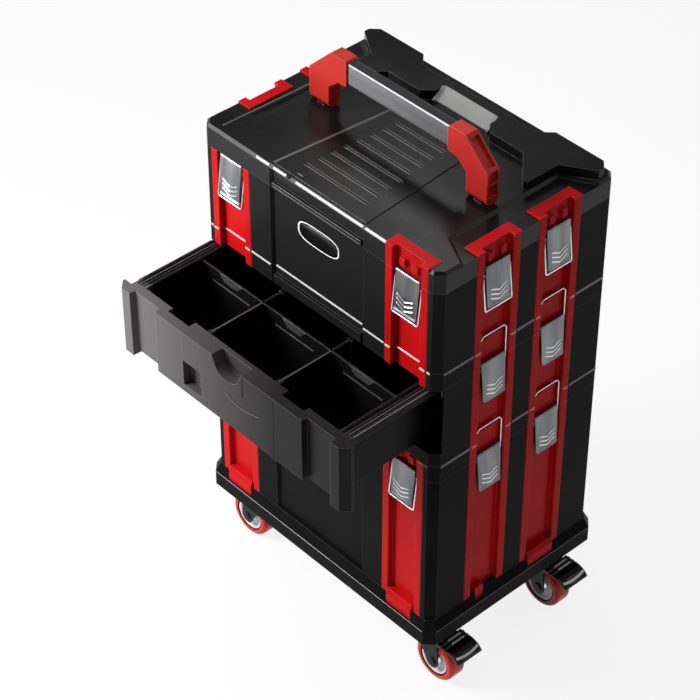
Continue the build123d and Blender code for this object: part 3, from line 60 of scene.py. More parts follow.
camera_data = bpy.data.cameras.new("camera")
camera_data.sensor_width = 36.0
camera_data.lens = 127.09
camera_data.clip_start = 0.05
camera_data.clip_end = 120.0
camera = bpy.data.objects.new("camera", camera_data)
camera.location = CAMERA_PLACE
camera.rotation_mode = "QUATERNION"
camera.rotation_quaternion = (CAMERA_TARGET - CAMERA_PLACE).to_track_quat("-Z", "Y")
bpy.context.scene.collection.objects.link(camera)
bpy.context.scene.camera = camera
bpy.context.scene.view_settings.view_transform = "Standard"


# Finishes

class Finish:
    """One material with short ways to add and join its nodes."""

    def __init__(self, name):
        self.material = bpy.data.materials.new(name)
        self.material.use_nodes = True
        self.tree = self.material.node_tree
        self.tree.nodes.clear()
        self.shader = self.add("BsdfPrincipled")
        self.output = self.add("OutputMaterial")
        self.join(self.shader, "BSDF", self.output, "Surface")

    def add(self, kind, **settings):
        node = self.tree.nodes.new("ShaderNode" + kind)
        for key, value in settings.items():
            setattr(node, key, value)
        return node

    def join(self, source, out, target, into):
        self.tree.links.new(source.outputs[out], target.inputs[into])

    def place(self, stretch=(1.0, 1.0, 1.0)):
        """Object coordinates, stretched along each axis."""
        coordinates = self.add("TexCoord")
        mapping = self.add("Mapping")
        mapping.inputs["Scale"].default_value = stretch
        self.join(coordinates, "Object", mapping, "Vector")
        return mapping

    def noise(self, scale, detail, stretch=(1.0, 1.0, 1.0)):
        noise = self.add("TexNoise")
        noise.inputs["Scale"].default_value = scale
        noise.inputs["Detail"].default_value = detail
        self.join(self.place(stretch), "Vector", noise, "Vector")
        return noise

    def spread(self, source, out, low, high, start=0.3, end=0.7):
        """A value running from low to high as the source runs from start to end."""
        spread = self.add("MapRange")
        for socket, value in (("From Min", start), ("From Max", end), ("To Min", low), ("To Max", high)):
            spread.inputs[socket].default_value = value
        self.join(source, out, spread, "Value")
        return spread

    def edge_normal(self, radius):
        bevel = self.add("Bevel", samples=6)
        bevel.inputs["Radius"].default_value = radius
        return bevel

    def edge_share(self, bevel, gain):
        """How far the rounded edge's normal leans from the flat face's, from 0 to 1."""
        geometry = self.add("NewGeometry")
        dot = self.add("VectorMath", operation="DOT_PRODUCT")
        self.join(bevel, "Normal", dot, 0)
        self.join(geometry, "Normal", dot, 1)
        lean = self.add("Math", operation="SUBTRACT", use_clamp=True)
        lean.inputs[0].default_value = 1.0
        self.join(dot, "Value", lean, 1)
        share = self.add("Math", operation="MULTIPLY", use_clamp=True)
        share.inputs[1].default_value = gain
        self.join(lean, "Value", share, 0)
        return share

    def mix(self, share, out, low, high):
        mix = self.add("MixRGB")
        for socket, colour in ((1, low), (2, high)):
            if isinstance(colour, tuple):
                mix.inputs[socket].default_value = (*colour, 1.0)
            else:
                self.join(colour, "Color", mix, socket)
        self.join(share, out, mix, 0)
        return mix

    def bump(self, height, out, strength, distance, bevel=None):
        bump = self.add("Bump")
        bump.inputs["Strength"].default_value = strength
        bump.inputs["Distance"].default_value = distance
        self.join(height, out, bump, "Height")
        if bevel is not None:
            self.join(bevel, "Normal", bump, "Normal")
        return bump


CLOUD_SCALE = 9.0
GRAIN_SCALE = 1400.0
GRAIN_DEPTH = 0.0002
STREAK_SCALE = 60.0
STREAK_DEPTH = 0.0001


def moulded(name, deep, light, edge, roughness, grain=0.12, edge_radius=0.0011, gain=2.2, gloss=0.5,
            painted_light_fades=()):
    """Moulded plastic: cloudy colour, fine grain in the surface and rounded edges made paler as a painted
    highlight.

    Each painted light fade turns the colour to another one as an axis runs from one place to another,
    standing in for light or shade falling on the part.
    """
    finish = Finish(name)
    finish.shader.inputs["Specular IOR Level"].default_value = gloss
    cloud = finish.noise(CLOUD_SCALE, 3.0)
    share = finish.spread(cloud, "Fac", 0.0, 1.0)
    tint = finish.mix(share, "Result", deep, light)
    for axis, start, end, colour in painted_light_fades:
        axes = finish.add("SeparateXYZ")
        finish.join(finish.place(), "Vector", axes, "Vector")
        faded = finish.spread(axes, axis, 0.0, 1.0, start, end)
        tint = finish.mix(faded, "Result", tint, colour)
    bevel = finish.edge_normal(edge_radius)
    # The edge colour mixed in at the rounded edges is a painted highlight.
    edge_highlight = finish.edge_share(bevel, gain)
    colour = finish.mix(edge_highlight, "Value", tint, edge)
    finish.join(colour, "Color", finish.shader, "Base Color")
    sheen = finish.spread(cloud, "Fac", roughness - 0.04, roughness + 0.05)
    finish.join(sheen, "Result", finish.shader, "Roughness")
    skin = finish.noise(GRAIN_SCALE, 2.0)
    bump = finish.bump(skin, "Fac", grain, GRAIN_DEPTH, bevel)
    finish.join(bump, "Normal", finish.shader, "Normal")
    return finish.material


def metal(name, deep, light, edge, roughness, stretch, grain=0.15, edge_radius=0.0006, gain=2.4):
    """Bare metal: streaks drawn out along one axis vary its colour, gloss and relief."""
    finish = Finish(name)
    finish.shader.inputs["Metallic"].default_value = 1.0
    streaks = finish.noise(STREAK_SCALE, 4.0, stretch)
    share = finish.spread(streaks, "Fac", 0.0, 1.0)
    tint = finish.mix(share, "Result", deep, light)
    bevel = finish.edge_normal(edge_radius)
    # The edge colour mixed in at the rounded edges is a painted highlight.
    edge_highlight = finish.edge_share(bevel, gain)
    colour = finish.mix(edge_highlight, "Value", tint, edge)
    finish.join(colour, "Color", finish.shader, "Base Color")
    sheen = finish.spread(streaks, "Fac", roughness - 0.06, roughness + 0.08)
    finish.join(sheen, "Result", finish.shader, "Roughness")
    bump = finish.bump(streaks, "Fac", grain, STREAK_DEPTH, bevel)
    finish.join(bump, "Normal", finish.shader, "Normal")
    return finish.material


# The case turns lighter towards the top: painted light.
BLACK = moulded("black moulded case", (0.0050, 0.0050, 0.0053), (0.0080, 0.0077, 0.0077),
                (0.17, 0.17, 0.165), 0.36, gloss=0.02, painted_light_fades=(("Z", 0.45, 0.74, (0.0145, 0.0141, 0.0142)),))
LID_BLACK = moulded("satin black lid", (0.0040, 0.0037, 0.0037), (0.0078, 0.0072, 0.0072),
                    (0.24, 0.24, 0.235), 0.27, grain=0.05, gloss=0.16)
# Lighter towards the left of the drawer front: a painted pool of light. Near black behind the front, inside
# the drawer: painted shade.
FASCIA = moulded("charcoal drawer front", (0.014, 0.013, 0.0135), (0.020, 0.0188, 0.0192),
                 (0.26, 0.25, 0.245), 0.42, gloss=0.06,
                 painted_light_fades=(("X", 0.09, -0.21, (0.112, 0.105, 0.107)),
                        ("Y", -0.300, -0.290, (0.004, 0.0038, 0.0038))))
DIVIDER = moulded("black drawer divider", (0.0035, 0.0034, 0.0034), (0.006, 0.0058, 0.0058),
                  (0.30, 0.29, 0.285), 0.40, gloss=0.08, edge_radius=0.0008, gain=3.2)
RED = moulded("red moulded channel", (0.40, 0.004, 0.006), (0.50, 0.007, 0.008),
              (0.86, 0.17, 0.14), 0.30, grain=0.06, gloss=0.04)
POST_RED = moulded("red handle post", (0.42, 0.013, 0.010), (0.50, 0.022, 0.015),
                   (0.88, 0.25, 0.20), 0.36, grain=0.06, gloss=0.2)
LACQUER = moulded("black lacquered caster steel", (0.005, 0.005, 0.005), (0.008, 0.008, 0.008),
                  (0.30, 0.30, 0.30), 0.22, grain=0.03, edge_radius=0.0006, gloss=0.12)
PEDAL = moulded("black brake pedal", (0.004, 0.004, 0.004), (0.008, 0.008, 0.008),
                (0.34, 0.34, 0.34), 0.14, grain=0.02, gloss=0.4)
TYRE = moulded("red tyre", (0.52, 0.018, 0.010), (0.66, 0.030, 0.014), (0.78, 0.06, 0.04), 0.26,
               grain=0.05, gloss=0.2)
HUB = moulded("pale wheel hub", (0.52, 0.53, 0.54), (0.68, 0.69, 0.70), (0.92, 0.92, 0.92), 0.28,
              grain=0.03)
# Near-black bars in grooves, joints and slots: painted shadow.
GROOVE_SHADOW = moulded("shadow black groove", (0.0018, 0.0018, 0.0018), (0.0028, 0.0028, 0.0028),
                 (0.010, 0.010, 0.010), 0.55, gloss=0.1)
# Pale grey bars along bevels and edges: painted highlight.
PALE_PAINTED_HIGHLIGHT = moulded("grey bevel", (0.11, 0.108, 0.106), (0.17, 0.168, 0.165), (0.50, 0.50, 0.49), 0.30,
                    grain=0.05, edge_radius=0.0004)
# Bright grey bars on the lid's front edge: painted highlight.
BRIGHT_PAINTED_HIGHLIGHT = moulded("silver grey edge", (0.34, 0.335, 0.33), (0.46, 0.455, 0.45),
                      (0.75, 0.75, 0.74), 0.30, grain=0.05, edge_radius=0.0004)
# Grey skin on the scoop's slope: painted reflection.
SCOOP_PAINTED_REFLECTION = moulded("grey scoop painted reflection", (0.23, 0.227, 0.224), (0.32, 0.317, 0.313),
                     (0.60, 0.60, 0.59), 0.32, grain=0.05, edge_radius=0.0004)
# Dimmer grey bars along bevels and edges: painted highlight.
DIM_PAINTED_HIGHLIGHT = moulded("dark grey bevel", (0.050, 0.048, 0.048), (0.080, 0.078, 0.077), (0.22, 0.22, 0.21),
                   0.32, grain=0.05, edge_radius=0.0004)
# Bright red bars on the seams of the red channels: painted highlight.
RED_PAINTED_HIGHLIGHT = moulded("bright red bevel", (0.72, 0.12, 0.10), (0.84, 0.20, 0.16), (0.92, 0.42, 0.36), 0.28,
                   grain=0.05, edge_radius=0.0004)
# White on the badge's ring is real enamel; white on the pedals' ribs and lip is a painted highlight.
WHITE_ENAMEL_AND_HIGHLIGHT = moulded("white enamel and painted highlight line", (0.74, 0.74, 0.73), (0.86, 0.86, 0.85), (0.9, 0.9, 0.9), 0.35,
                     grain=0.04, edge_radius=0.0003)
ENAMEL = moulded("black enamel badge", (0.003, 0.003, 0.003), (0.006, 0.006, 0.006),
                 (0.02, 0.02, 0.02), 0.20, grain=0.03, gloss=0.4)
LEVER = metal("pressed zinc lever", (0.115, 0.125, 0.125), (0.24, 0.25, 0.25), (0.92, 0.92, 0.92), 0.32,
              (1.0, 1.0, 0.12))
# Lighter chevron ridges on the levers: painted highlight.
RIDGE_HIGHLIGHT = metal("lever ridge painted highlight", (0.50, 0.52, 0.52), (0.78, 0.80, 0.80), (0.96, 0.96, 0.96), 0.24,
              (1.0, 1.0, 0.5))
WIRE = metal("bright wire bail", (0.55, 0.56, 0.57), (0.80, 0.81, 0.82), (0.95, 0.95, 0.95), 0.16,
             (1.0, 1.0, 1.0))
# Darker top face of the handle bar: painted shade.
BAR_TOP_SHADE = metal("bar top painted shade", (0.030, 0.030, 0.031), (0.060, 0.060, 0.062), (0.10, 0.10, 0.10), 0.5,
                (0.05, 1.0, 1.0), grain=0.3, edge_radius=0.0003)
BAR = metal("satin aluminium bar", (0.15, 0.15, 0.155), (0.22, 0.22, 0.225), (0.95, 0.95, 0.94), 0.40,
            (0.05, 1.0, 1.0), edge_radius=0.0015)
CHROME = metal("bright axle steel", (0.60, 0.60, 0.61), (0.84, 0.84, 0.85), (0.95, 0.95, 0.95), 0.12,
               (1.0, 1.0, 1.0))

FINISH_OF_SLOT = {
    "black_plastic": BLACK,
    "red_plastic": RED,
    "latch_steel": LEVER,
    "bail_steel": WIRE,
    "handle_aluminium": BAR,
    "caster_metal": LACQUER,
    "red_tyre": TYRE,
    "black_gloss_plastic": PEDAL,
}
FINISH_OF_NODE = {
    "handle_posts": POST_RED,
    "top_lid": LID_BLACK,
    "drawer_tray": FASCIA,
    "drawer_dividers": DIVIDER,
}

for entry in frame["record"]["subparts"]:
    node = NODES[entry["node"]]
    finish = FINISH_OF_NODE.get(entry["node"], FINISH_OF_SLOT[entry["material_slot"]])
    node.data.materials.clear()
    node.data.materials.append(finish)


# Ways to make surfaces

def quads(rows, columns, wrap_rows=False, wrap_columns=False):
    """Quads between neighbouring points of a grid, joined end to start where it wraps."""
    row = np.arange(rows if wrap_rows else rows - 1)[:, None]
    column = np.arange(columns if wrap_columns else columns - 1)[None, :]
    next_row = (row + 1) % rows
    next_column = (column + 1) % columns
    corners = (row * columns + column, next_row * columns + column,
               next_row * columns + next_column, row * columns + next_column)
    return np.stack(np.broadcast_arrays(*corners), axis=-1).reshape(-1, 4)


def face_out(mesh):
    """Merges the points that meet at poles and turns every face outwards."""
    shape = bmesh.new()
    shape.from_mesh(mesh)
    bmesh.ops.remove_doubles(shape, verts=shape.verts, dist=1e-7)
    bmesh.ops.recalc_face_normals(shape, faces=shape.faces)
    shape.to_mesh(mesh)
    shape.free()


def piece(name, points, faces, body, finishes, finish_of_face=None, smooth=False):
    """A mesh that rides on a body; faces are lists of point numbers, each with its finish's number."""
    mesh = bpy.data.meshes.new(name)
    mesh.from_pydata((np.asarray(points) * MM).tolist(), [], [list(map(int, face)) for face in faces])
    for finish in finishes:
        mesh.materials.append(finish)
    if finish_of_face is not None:
        mesh.polygons.foreach_set("material_index", np.asarray(finish_of_face, dtype=np.int32))
    mesh.polygons.foreach_set("use_smooth", np.full(len(mesh.polygons), smooth))
    face_out(mesh)
    made = bpy.data.objects.new(name, mesh)
    bpy.context.scene.collection.objects.link(made)
    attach(made, body)
    return made


def swept(path, normal, profile):
    """A bar along a path: a closed profile of steps sideways and along the normal, capped at both ends.

    Sideways is the normal crossed with the path's own direction at each point.
    """
    path = np.asarray(path, dtype=float)
    normal = np.asarray(normal, dtype=float)
    profile = np.asarray(profile, dtype=float)
    along = np.gradient(path, axis=0)
    along /= np.linalg.norm(along, axis=1, keepdims=True)
    side = np.cross(normal, along)
    points = path[:, None, :] + profile[None, :, :1] * side[:, None, :] + profile[None, :, 1:] * normal
    rows, count = len(path), len(profile)
    faces = quads(rows, count, wrap_columns=True).tolist()
    faces.append(list(range(count)))
    faces.append(list(range((rows - 1) * count, rows * count)))
    return points.reshape(-1, 3), faces


def turned(profile, count, height_share=1.0, power=1.0):
    """A profile of (radius, along) turned round the along axis: radius times cosine and sine of the angle.

    The sine is scaled by height_share, so the round becomes an oval; a power of the cosine and sine
    under 1 squares it up. Returned as across, along, up.
    """
    profile = np.asarray(profile, dtype=float)
    angle = np.arange(count) * 2 * np.pi / count
    radius = profile[:, :1]
    across = np.sign(np.cos(angle)) * np.abs(np.cos(angle)) ** power
    up = np.sign(np.sin(angle)) * np.abs(np.sin(angle)) ** power
    along = np.broadcast_to(profile[:, 1:], (len(profile), count))
    return np.stack((radius * across, along, height_share * radius * up), axis=-1)


# The order of a turned shape's coordinates that stands its axis upright
UPRIGHT = [0, 2, 1]


def rounded_box(size, radius, steps=4):
    """A closed outline of a rectangle with round corners: quarter circles about four centres."""
    turn = np.linspace(0, np.pi / 2, steps)
    half = np.asarray(size) / 2 - radius
    quarter = np.arange(4)[:, None] * np.pi / 2 + turn
    signs = np.array([(1, 1), (-1, 1), (-1, -1), (1, -1)])
    points = signs[:, None, :] * half + radius * np.stack((np.cos(quarter), np.sin(quarter)), axis=-1)
    return points.reshape(-1, 2)


def smooth_step(value):
    """From 0 to 1 along 3v squared less 2v cubed."""
    value = np.clip(value, 0, 1)
    return value * value * (3 - 2 * value)


def band(width, low=-0.3, high=0.3):
    """A flat bar's closed profile."""
    return [(-width / 2, low), (width / 2, low), (width / 2, high), (-width / 2, high)]


def between(top, low):
    """A closed skin between two grids of the same size: both grids and the walls round their borders."""
    rows, columns = top.shape[:2]
    count = rows * columns
    number = np.arange(count).reshape(rows, columns)
    border = np.concatenate((number[0, :-1], number[:-1, -1], number[-1, :0:-1], number[:0:-1, 0]))
    follow = np.roll(border, -1)
    sheet = quads(rows, columns)
    walls = np.column_stack((border, follow, follow + count, border + count))
    points = np.concatenate((top.reshape(-1, 3), low.reshape(-1, 3)))
    return points, np.concatenate((sheet, sheet[:, ::-1] + count, walls))


def tube(path, out, radius, count=12):
    """A round wire along a path that lies nearly square to the out direction."""
    angle = np.arange(count) * 2 * np.pi / count
    return swept(path, out, radius * np.column_stack((np.cos(angle), np.sin(angle))))


def rounded_path(corners, radius, steps=7):
    """A path through corners, each replaced by a quadratic curve that starts and ends at the radius."""
    corners = np.asarray(corners, dtype=float)
    path = [corners[0]]
    share = np.linspace(0, 1, steps)[:, None]
    for before, corner, after in zip(corners, corners[1:], corners[2:]):
        into = corner + (before - corner) / np.linalg.norm(before - corner) * radius
        away = corner + (after - corner) / np.linalg.norm(after - corner) * radius
        path.extend((1 - share) ** 2 * into + 2 * share * (1 - share) * corner + share ** 2 * away)
    path.append(corners[-1])
    return np.array(path)


# Places taken from the case, in millimetres

def joint_place(name):
    """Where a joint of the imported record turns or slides, to a thousandth."""
    return np.round(np.array(JOINTS[name]["pos_m"]) / MM, 3)


def node_box(name):
    """Lowest and highest corner of a node, to a thousandth."""
    return [np.round(np.array(corner) / MM, 3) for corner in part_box(name)]


# Sizes of the case that the pieces follow, in millimetres

HALF_WIDTH, HALF_DEPTH = node_box("deep_box_shell")[1][:2]
DEEP_BOX_SEAM = node_box("deep_box_lid")[1][2]
DRAWER_UNIT_SEAM = node_box("drawer_unit_top")[1][2]
DRAWER_FRONT = node_box("drawer_tray")[0][1]
DRAWER_TOP = node_box("drawer_tray")[1][2]
CORNER = 12.0
SET_BACK_HALF = 88.0
SET_BACK = 5.0
SIDE_CHANNELS = (joint_place("latch_lever_1")[1], joint_place("latch_lever_2")[1])
FRONT_CHANNELS = (joint_place("latch_lever_6")[0], joint_place("latch_lever_5")[0])
CHANNEL_HALF = 40.0
CHANNEL_EDGE = 1.2
CHANNEL_PROUD = 0.8
RECESS_HALF = 26.5
RECESS = 8.0
FLANGE = np.array([(CHANNEL_HALF, 0.0), (CHANNEL_HALF - CHANNEL_EDGE, -CHANNEL_PROUD),
                   (RECESS_HALF + CHANNEL_EDGE, -CHANNEL_PROUD), (RECESS_HALF, CHANNEL_EDGE - CHANNEL_PROUD),
                   (RECESS_HALF, RECESS)])
CHANNEL = np.concatenate((FLANGE * (-1, 1), FLANGE[::-1]))
LID_TOP = 795.0
PAD_TOP = 796.0
LID_CHAMFER = 4.0


# Bevels along the seams between the modules, coloured as painted highlights

BEAD = np.array([(-0.6, 0.3), (0.05, 0.3), (1.6, -1.2), (1.6, -2.2), (0.05, -3.4), (-0.6, -3.4)])
SHORTEST_RUN = 7.9
RUN_END = 0.8
STRAIGHT = 0.01
SIDES_FROM = 220.0


def module_outline():
    """Anticlockwise outline of a module in plan, the run each point lies in, and which runs are channels.

    The front has two channels with the set-back panel between them, and each side has two channels.
    """
    corner = HALF_WIDTH - CORNER
    end = HALF_DEPTH - CORNER
    half = SET_BACK_HALF
    edge = half + SET_BACK
    panel = np.array([(-edge, 0), (-half, SET_BACK), (half, SET_BACK), (edge, 0)])
    left, right = [np.column_stack((x + CHANNEL[:, 0], CHANNEL[:, 1] - HALF_DEPTH)) for x in FRONT_CHANNELS]
    runs = [np.array([(-corner, -HALF_DEPTH)]), left, panel - (0, HALF_DEPTH), right]
    runs.append(np.array([(corner, -HALF_DEPTH), (HALF_WIDTH, -end)]))
    runs += [np.column_stack((HALF_WIDTH - CHANNEL[:, 1], y + CHANNEL[:, 0])) for y in SIDE_CHANNELS]
    runs.append(np.array([(HALF_WIDTH, end), (corner, HALF_DEPTH)]))
    runs.append(np.array([(-corner, HALF_DEPTH), (-HALF_WIDTH, end)]))
    runs += [np.column_stack((CHANNEL[:, 1] - HALF_WIDTH, y - CHANNEL[:, 0])) for y in SIDE_CHANNELS[::-1]]
    runs.append(np.array([(-HALF_WIDTH, -end)]))
    run_of_point = np.concatenate([np.full(len(run), number) for number, run in enumerate(runs)])
    channel_run = np.array([len(run) == len(CHANNEL) for run in runs])
    return np.concatenate(runs), run_of_point, channel_run[run_of_point]


def seam_bevel(name, level, outline):
    """Small bevelled ribs along a module's upper edge: one for each straight run of the outline.

    The corners and the floors of the side channels stay plain.
    """
    plan, run_of_point, on_channel = outline
    in_channel = on_channel & (run_of_point == np.roll(run_of_point, -1))
    points, faces, reds = [], [], []
    for start, end, red in zip(np.roll(plan, -1, axis=0), plan, in_channel):
        run = end - start
        length = np.linalg.norm(run)
        slanted = np.min(np.abs(run)) > STRAIGHT
        side_floor = red and abs(start[0]) > SIDES_FROM and length > RECESS_HALF
        if slanted or side_floor or length < SHORTEST_RUN:
            continue
        trim = run / length * RUN_END
        ends = np.array([(*(start + trim), level), (*(end - trim), level)])
        bar_points, bar_faces = swept(ends, UP, BEAD)
        first = sum(len(part) for part in points)
        points.append(bar_points)
        faces += [[number + first for number in face] for face in bar_faces]
        reds += [int(red)] * len(bar_faces)
    return piece(name, np.concatenate(points), faces, "case", (PALE_PAINTED_HIGHLIGHT, RED_PAINTED_HIGHLIGHT), reds)


whole_outline = module_outline()
seam_bevel("seam_bevel_deep_box", DEEP_BOX_SEAM, whole_outline)
seam_bevel("seam_bevel_drawer_unit", DRAWER_UNIT_SEAM, whole_outline)


# Lid: bevelled border of the pad in a painted highlight, a painted shade line beside the pad, slots edged
# with painted highlights, clip at the front edge, painted reflection lining the scoop

PAD_FRONT = -156.5
PAD_REAR = 84.0
PAD_FRONT_HALF = 90.0
PAD_REAR_HALF = 70.0
PAD_SHADE_OFFSET = 1.0
PAD_BORDER = [(-0.2, -0.3), (5.2, -0.3), (5.2, 0.05), (0.8, 1.15), (-0.2, 1.15)]
STRIP_FRONT = (-204.0, -152.0)
STRIP_REAR = (-196.5, 70.0)
CLIP_LINE_START = (-52.0, -150.0)
CLIP_LINE_END = (-41.0, -150.0)
SLOTS = 8
SLOT_FRONT = -127.5
SLOT_STEP = 22.0
SLOT_EDGE = 2.6
SLOT_FRONT_HALF = 60.5
SLOT_NARROWING = 15.0


def lid_bar(name, start, end, level, profile, finish):
    """A level bar on the lid, from one place in plan to another."""
    points, faces = swept([(*start, level), (*end, level)], UP, profile)
    return piece(name, points, faces, "lid", (finish,))


# The pad's left border, the strip beside it, the clip line and the slot edges are coloured as painted
# highlights.
lid_bar("pad_border_left", (-PAD_FRONT_HALF, PAD_FRONT), (-PAD_REAR_HALF, PAD_REAR), LID_TOP,
        PAD_BORDER, DIM_PAINTED_HIGHLIGHT)
# A near-black line beside the pad's right border: painted shade.
lid_bar("pad_shade_line_right", (PAD_FRONT_HALF + PAD_SHADE_OFFSET, PAD_FRONT), (PAD_REAR_HALF + PAD_SHADE_OFFSET, PAD_REAR),
        LID_TOP, band(1.4, high=0.15), GROOVE_SHADOW)
lid_bar("lid_strip_left", STRIP_FRONT, STRIP_REAR, LID_TOP, band(3.0, high=0.5), DIM_PAINTED_HIGHLIGHT)
lid_bar("lid_clip_line", CLIP_LINE_START, CLIP_LINE_END, PAD_TOP, band(1.6), PALE_PAINTED_HIGHLIGHT)
for row in range(SLOTS):
    y = SLOT_FRONT + SLOT_STEP * row
    half = SLOT_FRONT_HALF - SLOT_NARROWING * row / (SLOTS - 1)
    lid_bar(f"slot_{row + 1}_front_edge", (-half, y - SLOT_EDGE), (half, y - SLOT_EDGE), PAD_TOP,
            band(0.9, high=0.2), PALE_PAINTED_HIGHLIGHT)
    lid_bar(f"slot_{row + 1}_rear_edge", (-half, y + SLOT_EDGE), (half, y + SLOT_EDGE), PAD_TOP,
            band(0.7, high=0.15), DIM_PAINTED_HIGHLIGHT)

FORWARD = (0, -1, 0)
SLANT = (0, -math.sqrt(0.5), math.sqrt(0.5))
LID_FRONT_EDGES = ((-121, -95), (-86, -61), (-41, 90), (95, 134))
LEDGE_LEVELS = (768.6, 763.2)
LEDGE_HALF = 86.0


def front_bar(name, start, end, y, z, normal, width, body, finish):
    """A thin level bar on the front, from one x to another."""
    points, faces = swept([(start, y, z), (end, y, z)], normal, band(width))
    return piece(name, points, faces, body, (finish,))


# The bars along the lid's front edge and the ledge lines below it are painted highlights.
for number, (start, end) in enumerate(LID_FRONT_EDGES, start=1):
    front_bar(f"lid_front_edge_{number}", start, end, LID_CHAMFER / 2 - HALF_DEPTH, LID_TOP - LID_CHAMFER / 2,
              SLANT, 3.2, "lid", BRIGHT_PAINTED_HIGHLIGHT)
for number, level in enumerate(LEDGE_LEVELS, start=1):
    front_bar(f"ledge_line_{number}", -LEDGE_HALF, LEDGE_HALF, -HALF_DEPTH, level, FORWARD, 0.9, "lid",
              PALE_PAINTED_HIGHLIGHT)

CLIP_PLACE = (-56.0, -160.0, 793.6)
CLIP_COUNT = 32
CLIP_PROFILE = [(0.0, 2.4), (2.6, 2.2), (4.2, 1.4), (4.9, 0.0), (4.9, -2.0), (0.0, -2.0)]
clip_points = turned(CLIP_PROFILE, CLIP_COUNT)[..., UPRIGHT] + CLIP_PLACE
clip_faces = quads(len(CLIP_PROFILE), CLIP_COUNT, wrap_columns=True)
piece("lid_clip", clip_points.reshape(-1, 3), clip_faces, "lid", (LID_BLACK,), smooth=True)

SCOOP_HALF = 53.0
SCOOP_ROUND = 9.0
SCOOP_FRONT = 104.4
SCOOP_DEPTH = 20.0
SCOOP_RISE = 15.0
SCOOP_LIFT = 0.1
SCOOP_SKIN = (0.0, 1.6, -0.6)


def scoop_slope():
    """The scoop's sloping floor: y and z grow evenly from its front to the rim of the platform.

    Near its two ends it draws in along a quarter circle of the corner's radius.
    """
    x = np.broadcast_to(np.linspace(-1, 1, 61) * SCOOP_HALF, (17, 61))
    rise = np.linspace(0, 1, 17)[:, None]
    past_round = np.clip((np.abs(x) - SCOOP_HALF + SCOOP_ROUND) / SCOOP_ROUND, 0, 1)
    inset = SCOOP_ROUND * (1 - np.sqrt(1 - past_round ** 2))
    return np.stack((x, SCOOP_FRONT + SCOOP_DEPTH * rise - 0.6 * inset,
                     LID_TOP + SCOOP_LIFT + SCOOP_RISE * rise + 0.15 * inset), axis=-1)


slope = scoop_slope()
scoop_points, scoop_faces = between(slope, slope + SCOOP_SKIN)
# The scoop's grey skin is a painted reflection.
piece("scoop_painted_reflection", scoop_points, scoop_faces, "lid", (SCOOP_PAINTED_REFLECTION,), smooth=True)


# Handle bar: flat faced, with narrow corners in a painted highlight and a top darkened as painted shade

BAR_PLAY = 0.2
BAR_CORNER = 2.4
BAR_STATIONS = 24
bar_low, bar_high = node_box("handle_bar")
bar_middle = (bar_low + bar_high) / 2
bar_size = bar_high - bar_low - BAR_PLAY
bar_section = rounded_box(bar_size[1:], BAR_CORNER, 7)
bar_path = [(x, *bar_middle[1:]) for x in np.linspace(-1, 1, BAR_STATIONS) * (bar_high[0] - BAR_PLAY)]
bar_points, bar_faces = swept(bar_path, UP, bar_section)
edge_level = (bar_section[:, 1] + np.roll(bar_section[:, 1], -1)) / 2
on_top = edge_level > bar_size[2] / 2 - 0.1
bar_tops = np.append(np.tile(on_top.astype(int), BAR_STATIONS - 1), (0, 0))
flat_bar = piece("handle_bar_flat", bar_points, bar_faces, "handle", (BAR, BAR_TOP_SHADE),
                 bar_tops)
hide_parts("handle_bar")


# Oval badge, left plain, on the set-back panel of the top box

BADGE_HALF = 38.5
BADGE_SHARE = 0.40
BADGE_POWER = 0.66
BADGE_CROWN = 1.6
BADGE_EDGE = 0.4
BADGE_LEVEL = 718.0
BADGE_COUNT = 96
share = np.linspace(0, 1, 15)
crown = np.column_stack((BADGE_HALF * share, BADGE_CROWN * (1 - share ** 4) + BADGE_EDGE))
ring = np.array([(0.0, 0.4), (0.8, 0.9), (2.2, 0.9), (2.9, 0.2), (2.9, -0.4)]) + (BADGE_HALF, 0.0)
badge_profile = np.concatenate((crown, ring, [(0.0, -BADGE_EDGE)]))
badge = turned(badge_profile, BADGE_COUNT, BADGE_SHARE, BADGE_POWER)
badge_points = badge * (1, -1, 1) + (0.0, SET_BACK - HALF_DEPTH, BADGE_LEVEL)
badge_faces = quads(len(badge_profile), BADGE_COUNT, wrap_columns=True)
row_of_face = np.repeat(np.arange(len(badge_profile) - 1), BADGE_COUNT)
on_ring = (row_of_face >= len(crown)) & (row_of_face < len(crown) + 3)
piece("badge", badge_points.reshape(-1, 3), badge_faces, "case", (ENAMEL, WHITE_ENAMEL_AND_HIGHLIGHT),
      on_ring.astype(int), smooth=True)


# Lines moulded into the drawer's front

FRONT_LOW = 489.5
FRONT_HIGH = 595.0
FRONT_JOINT = 94.5
LINE_PROUD = 0.03
LIP_PROUD = 0.05
FRONT_SLOT = 32.0
FRONT_SLOT_LOW = 559.0
FRONT_SLOT_HIGH = 592.0
# The near-black lines are painted shadow in the joint, slot and finger groove; the paler left joint line and
# the groove's lip are painted highlights.
FRONT_LINES = (("drawer_joint_right", FRONT_JOINT, FRONT_LOW, FRONT_HIGH, 1.4, GROOVE_SHADOW),
               ("drawer_joint_left", -FRONT_JOINT, FRONT_LOW, FRONT_HIGH, 0.8, DIM_PAINTED_HIGHLIGHT),
               ("drawer_slot", FRONT_SLOT, FRONT_SLOT_LOW, FRONT_SLOT_HIGH, 2.4, GROOVE_SHADOW))
GROOVE_START = -2.0
GROOVE_LENGTH = 66.0
GROOVE_LEVEL = 545.0
GROOVE_SAG = 8.0
GROOVE_DROP = 2.0


def front_line(name, path, width, proud, finish):
    """A thin flat bar on the drawer's front, along a path of (x, z) points."""
    path = np.asarray(path, dtype=float)
    line = np.column_stack((path[:, 0], np.full(len(path), DRAWER_FRONT), path[:, 1]))
    points, faces = swept(line, FORWARD, band(width, -0.5, proud))
    return piece(name, points, faces, "drawer", (finish,))


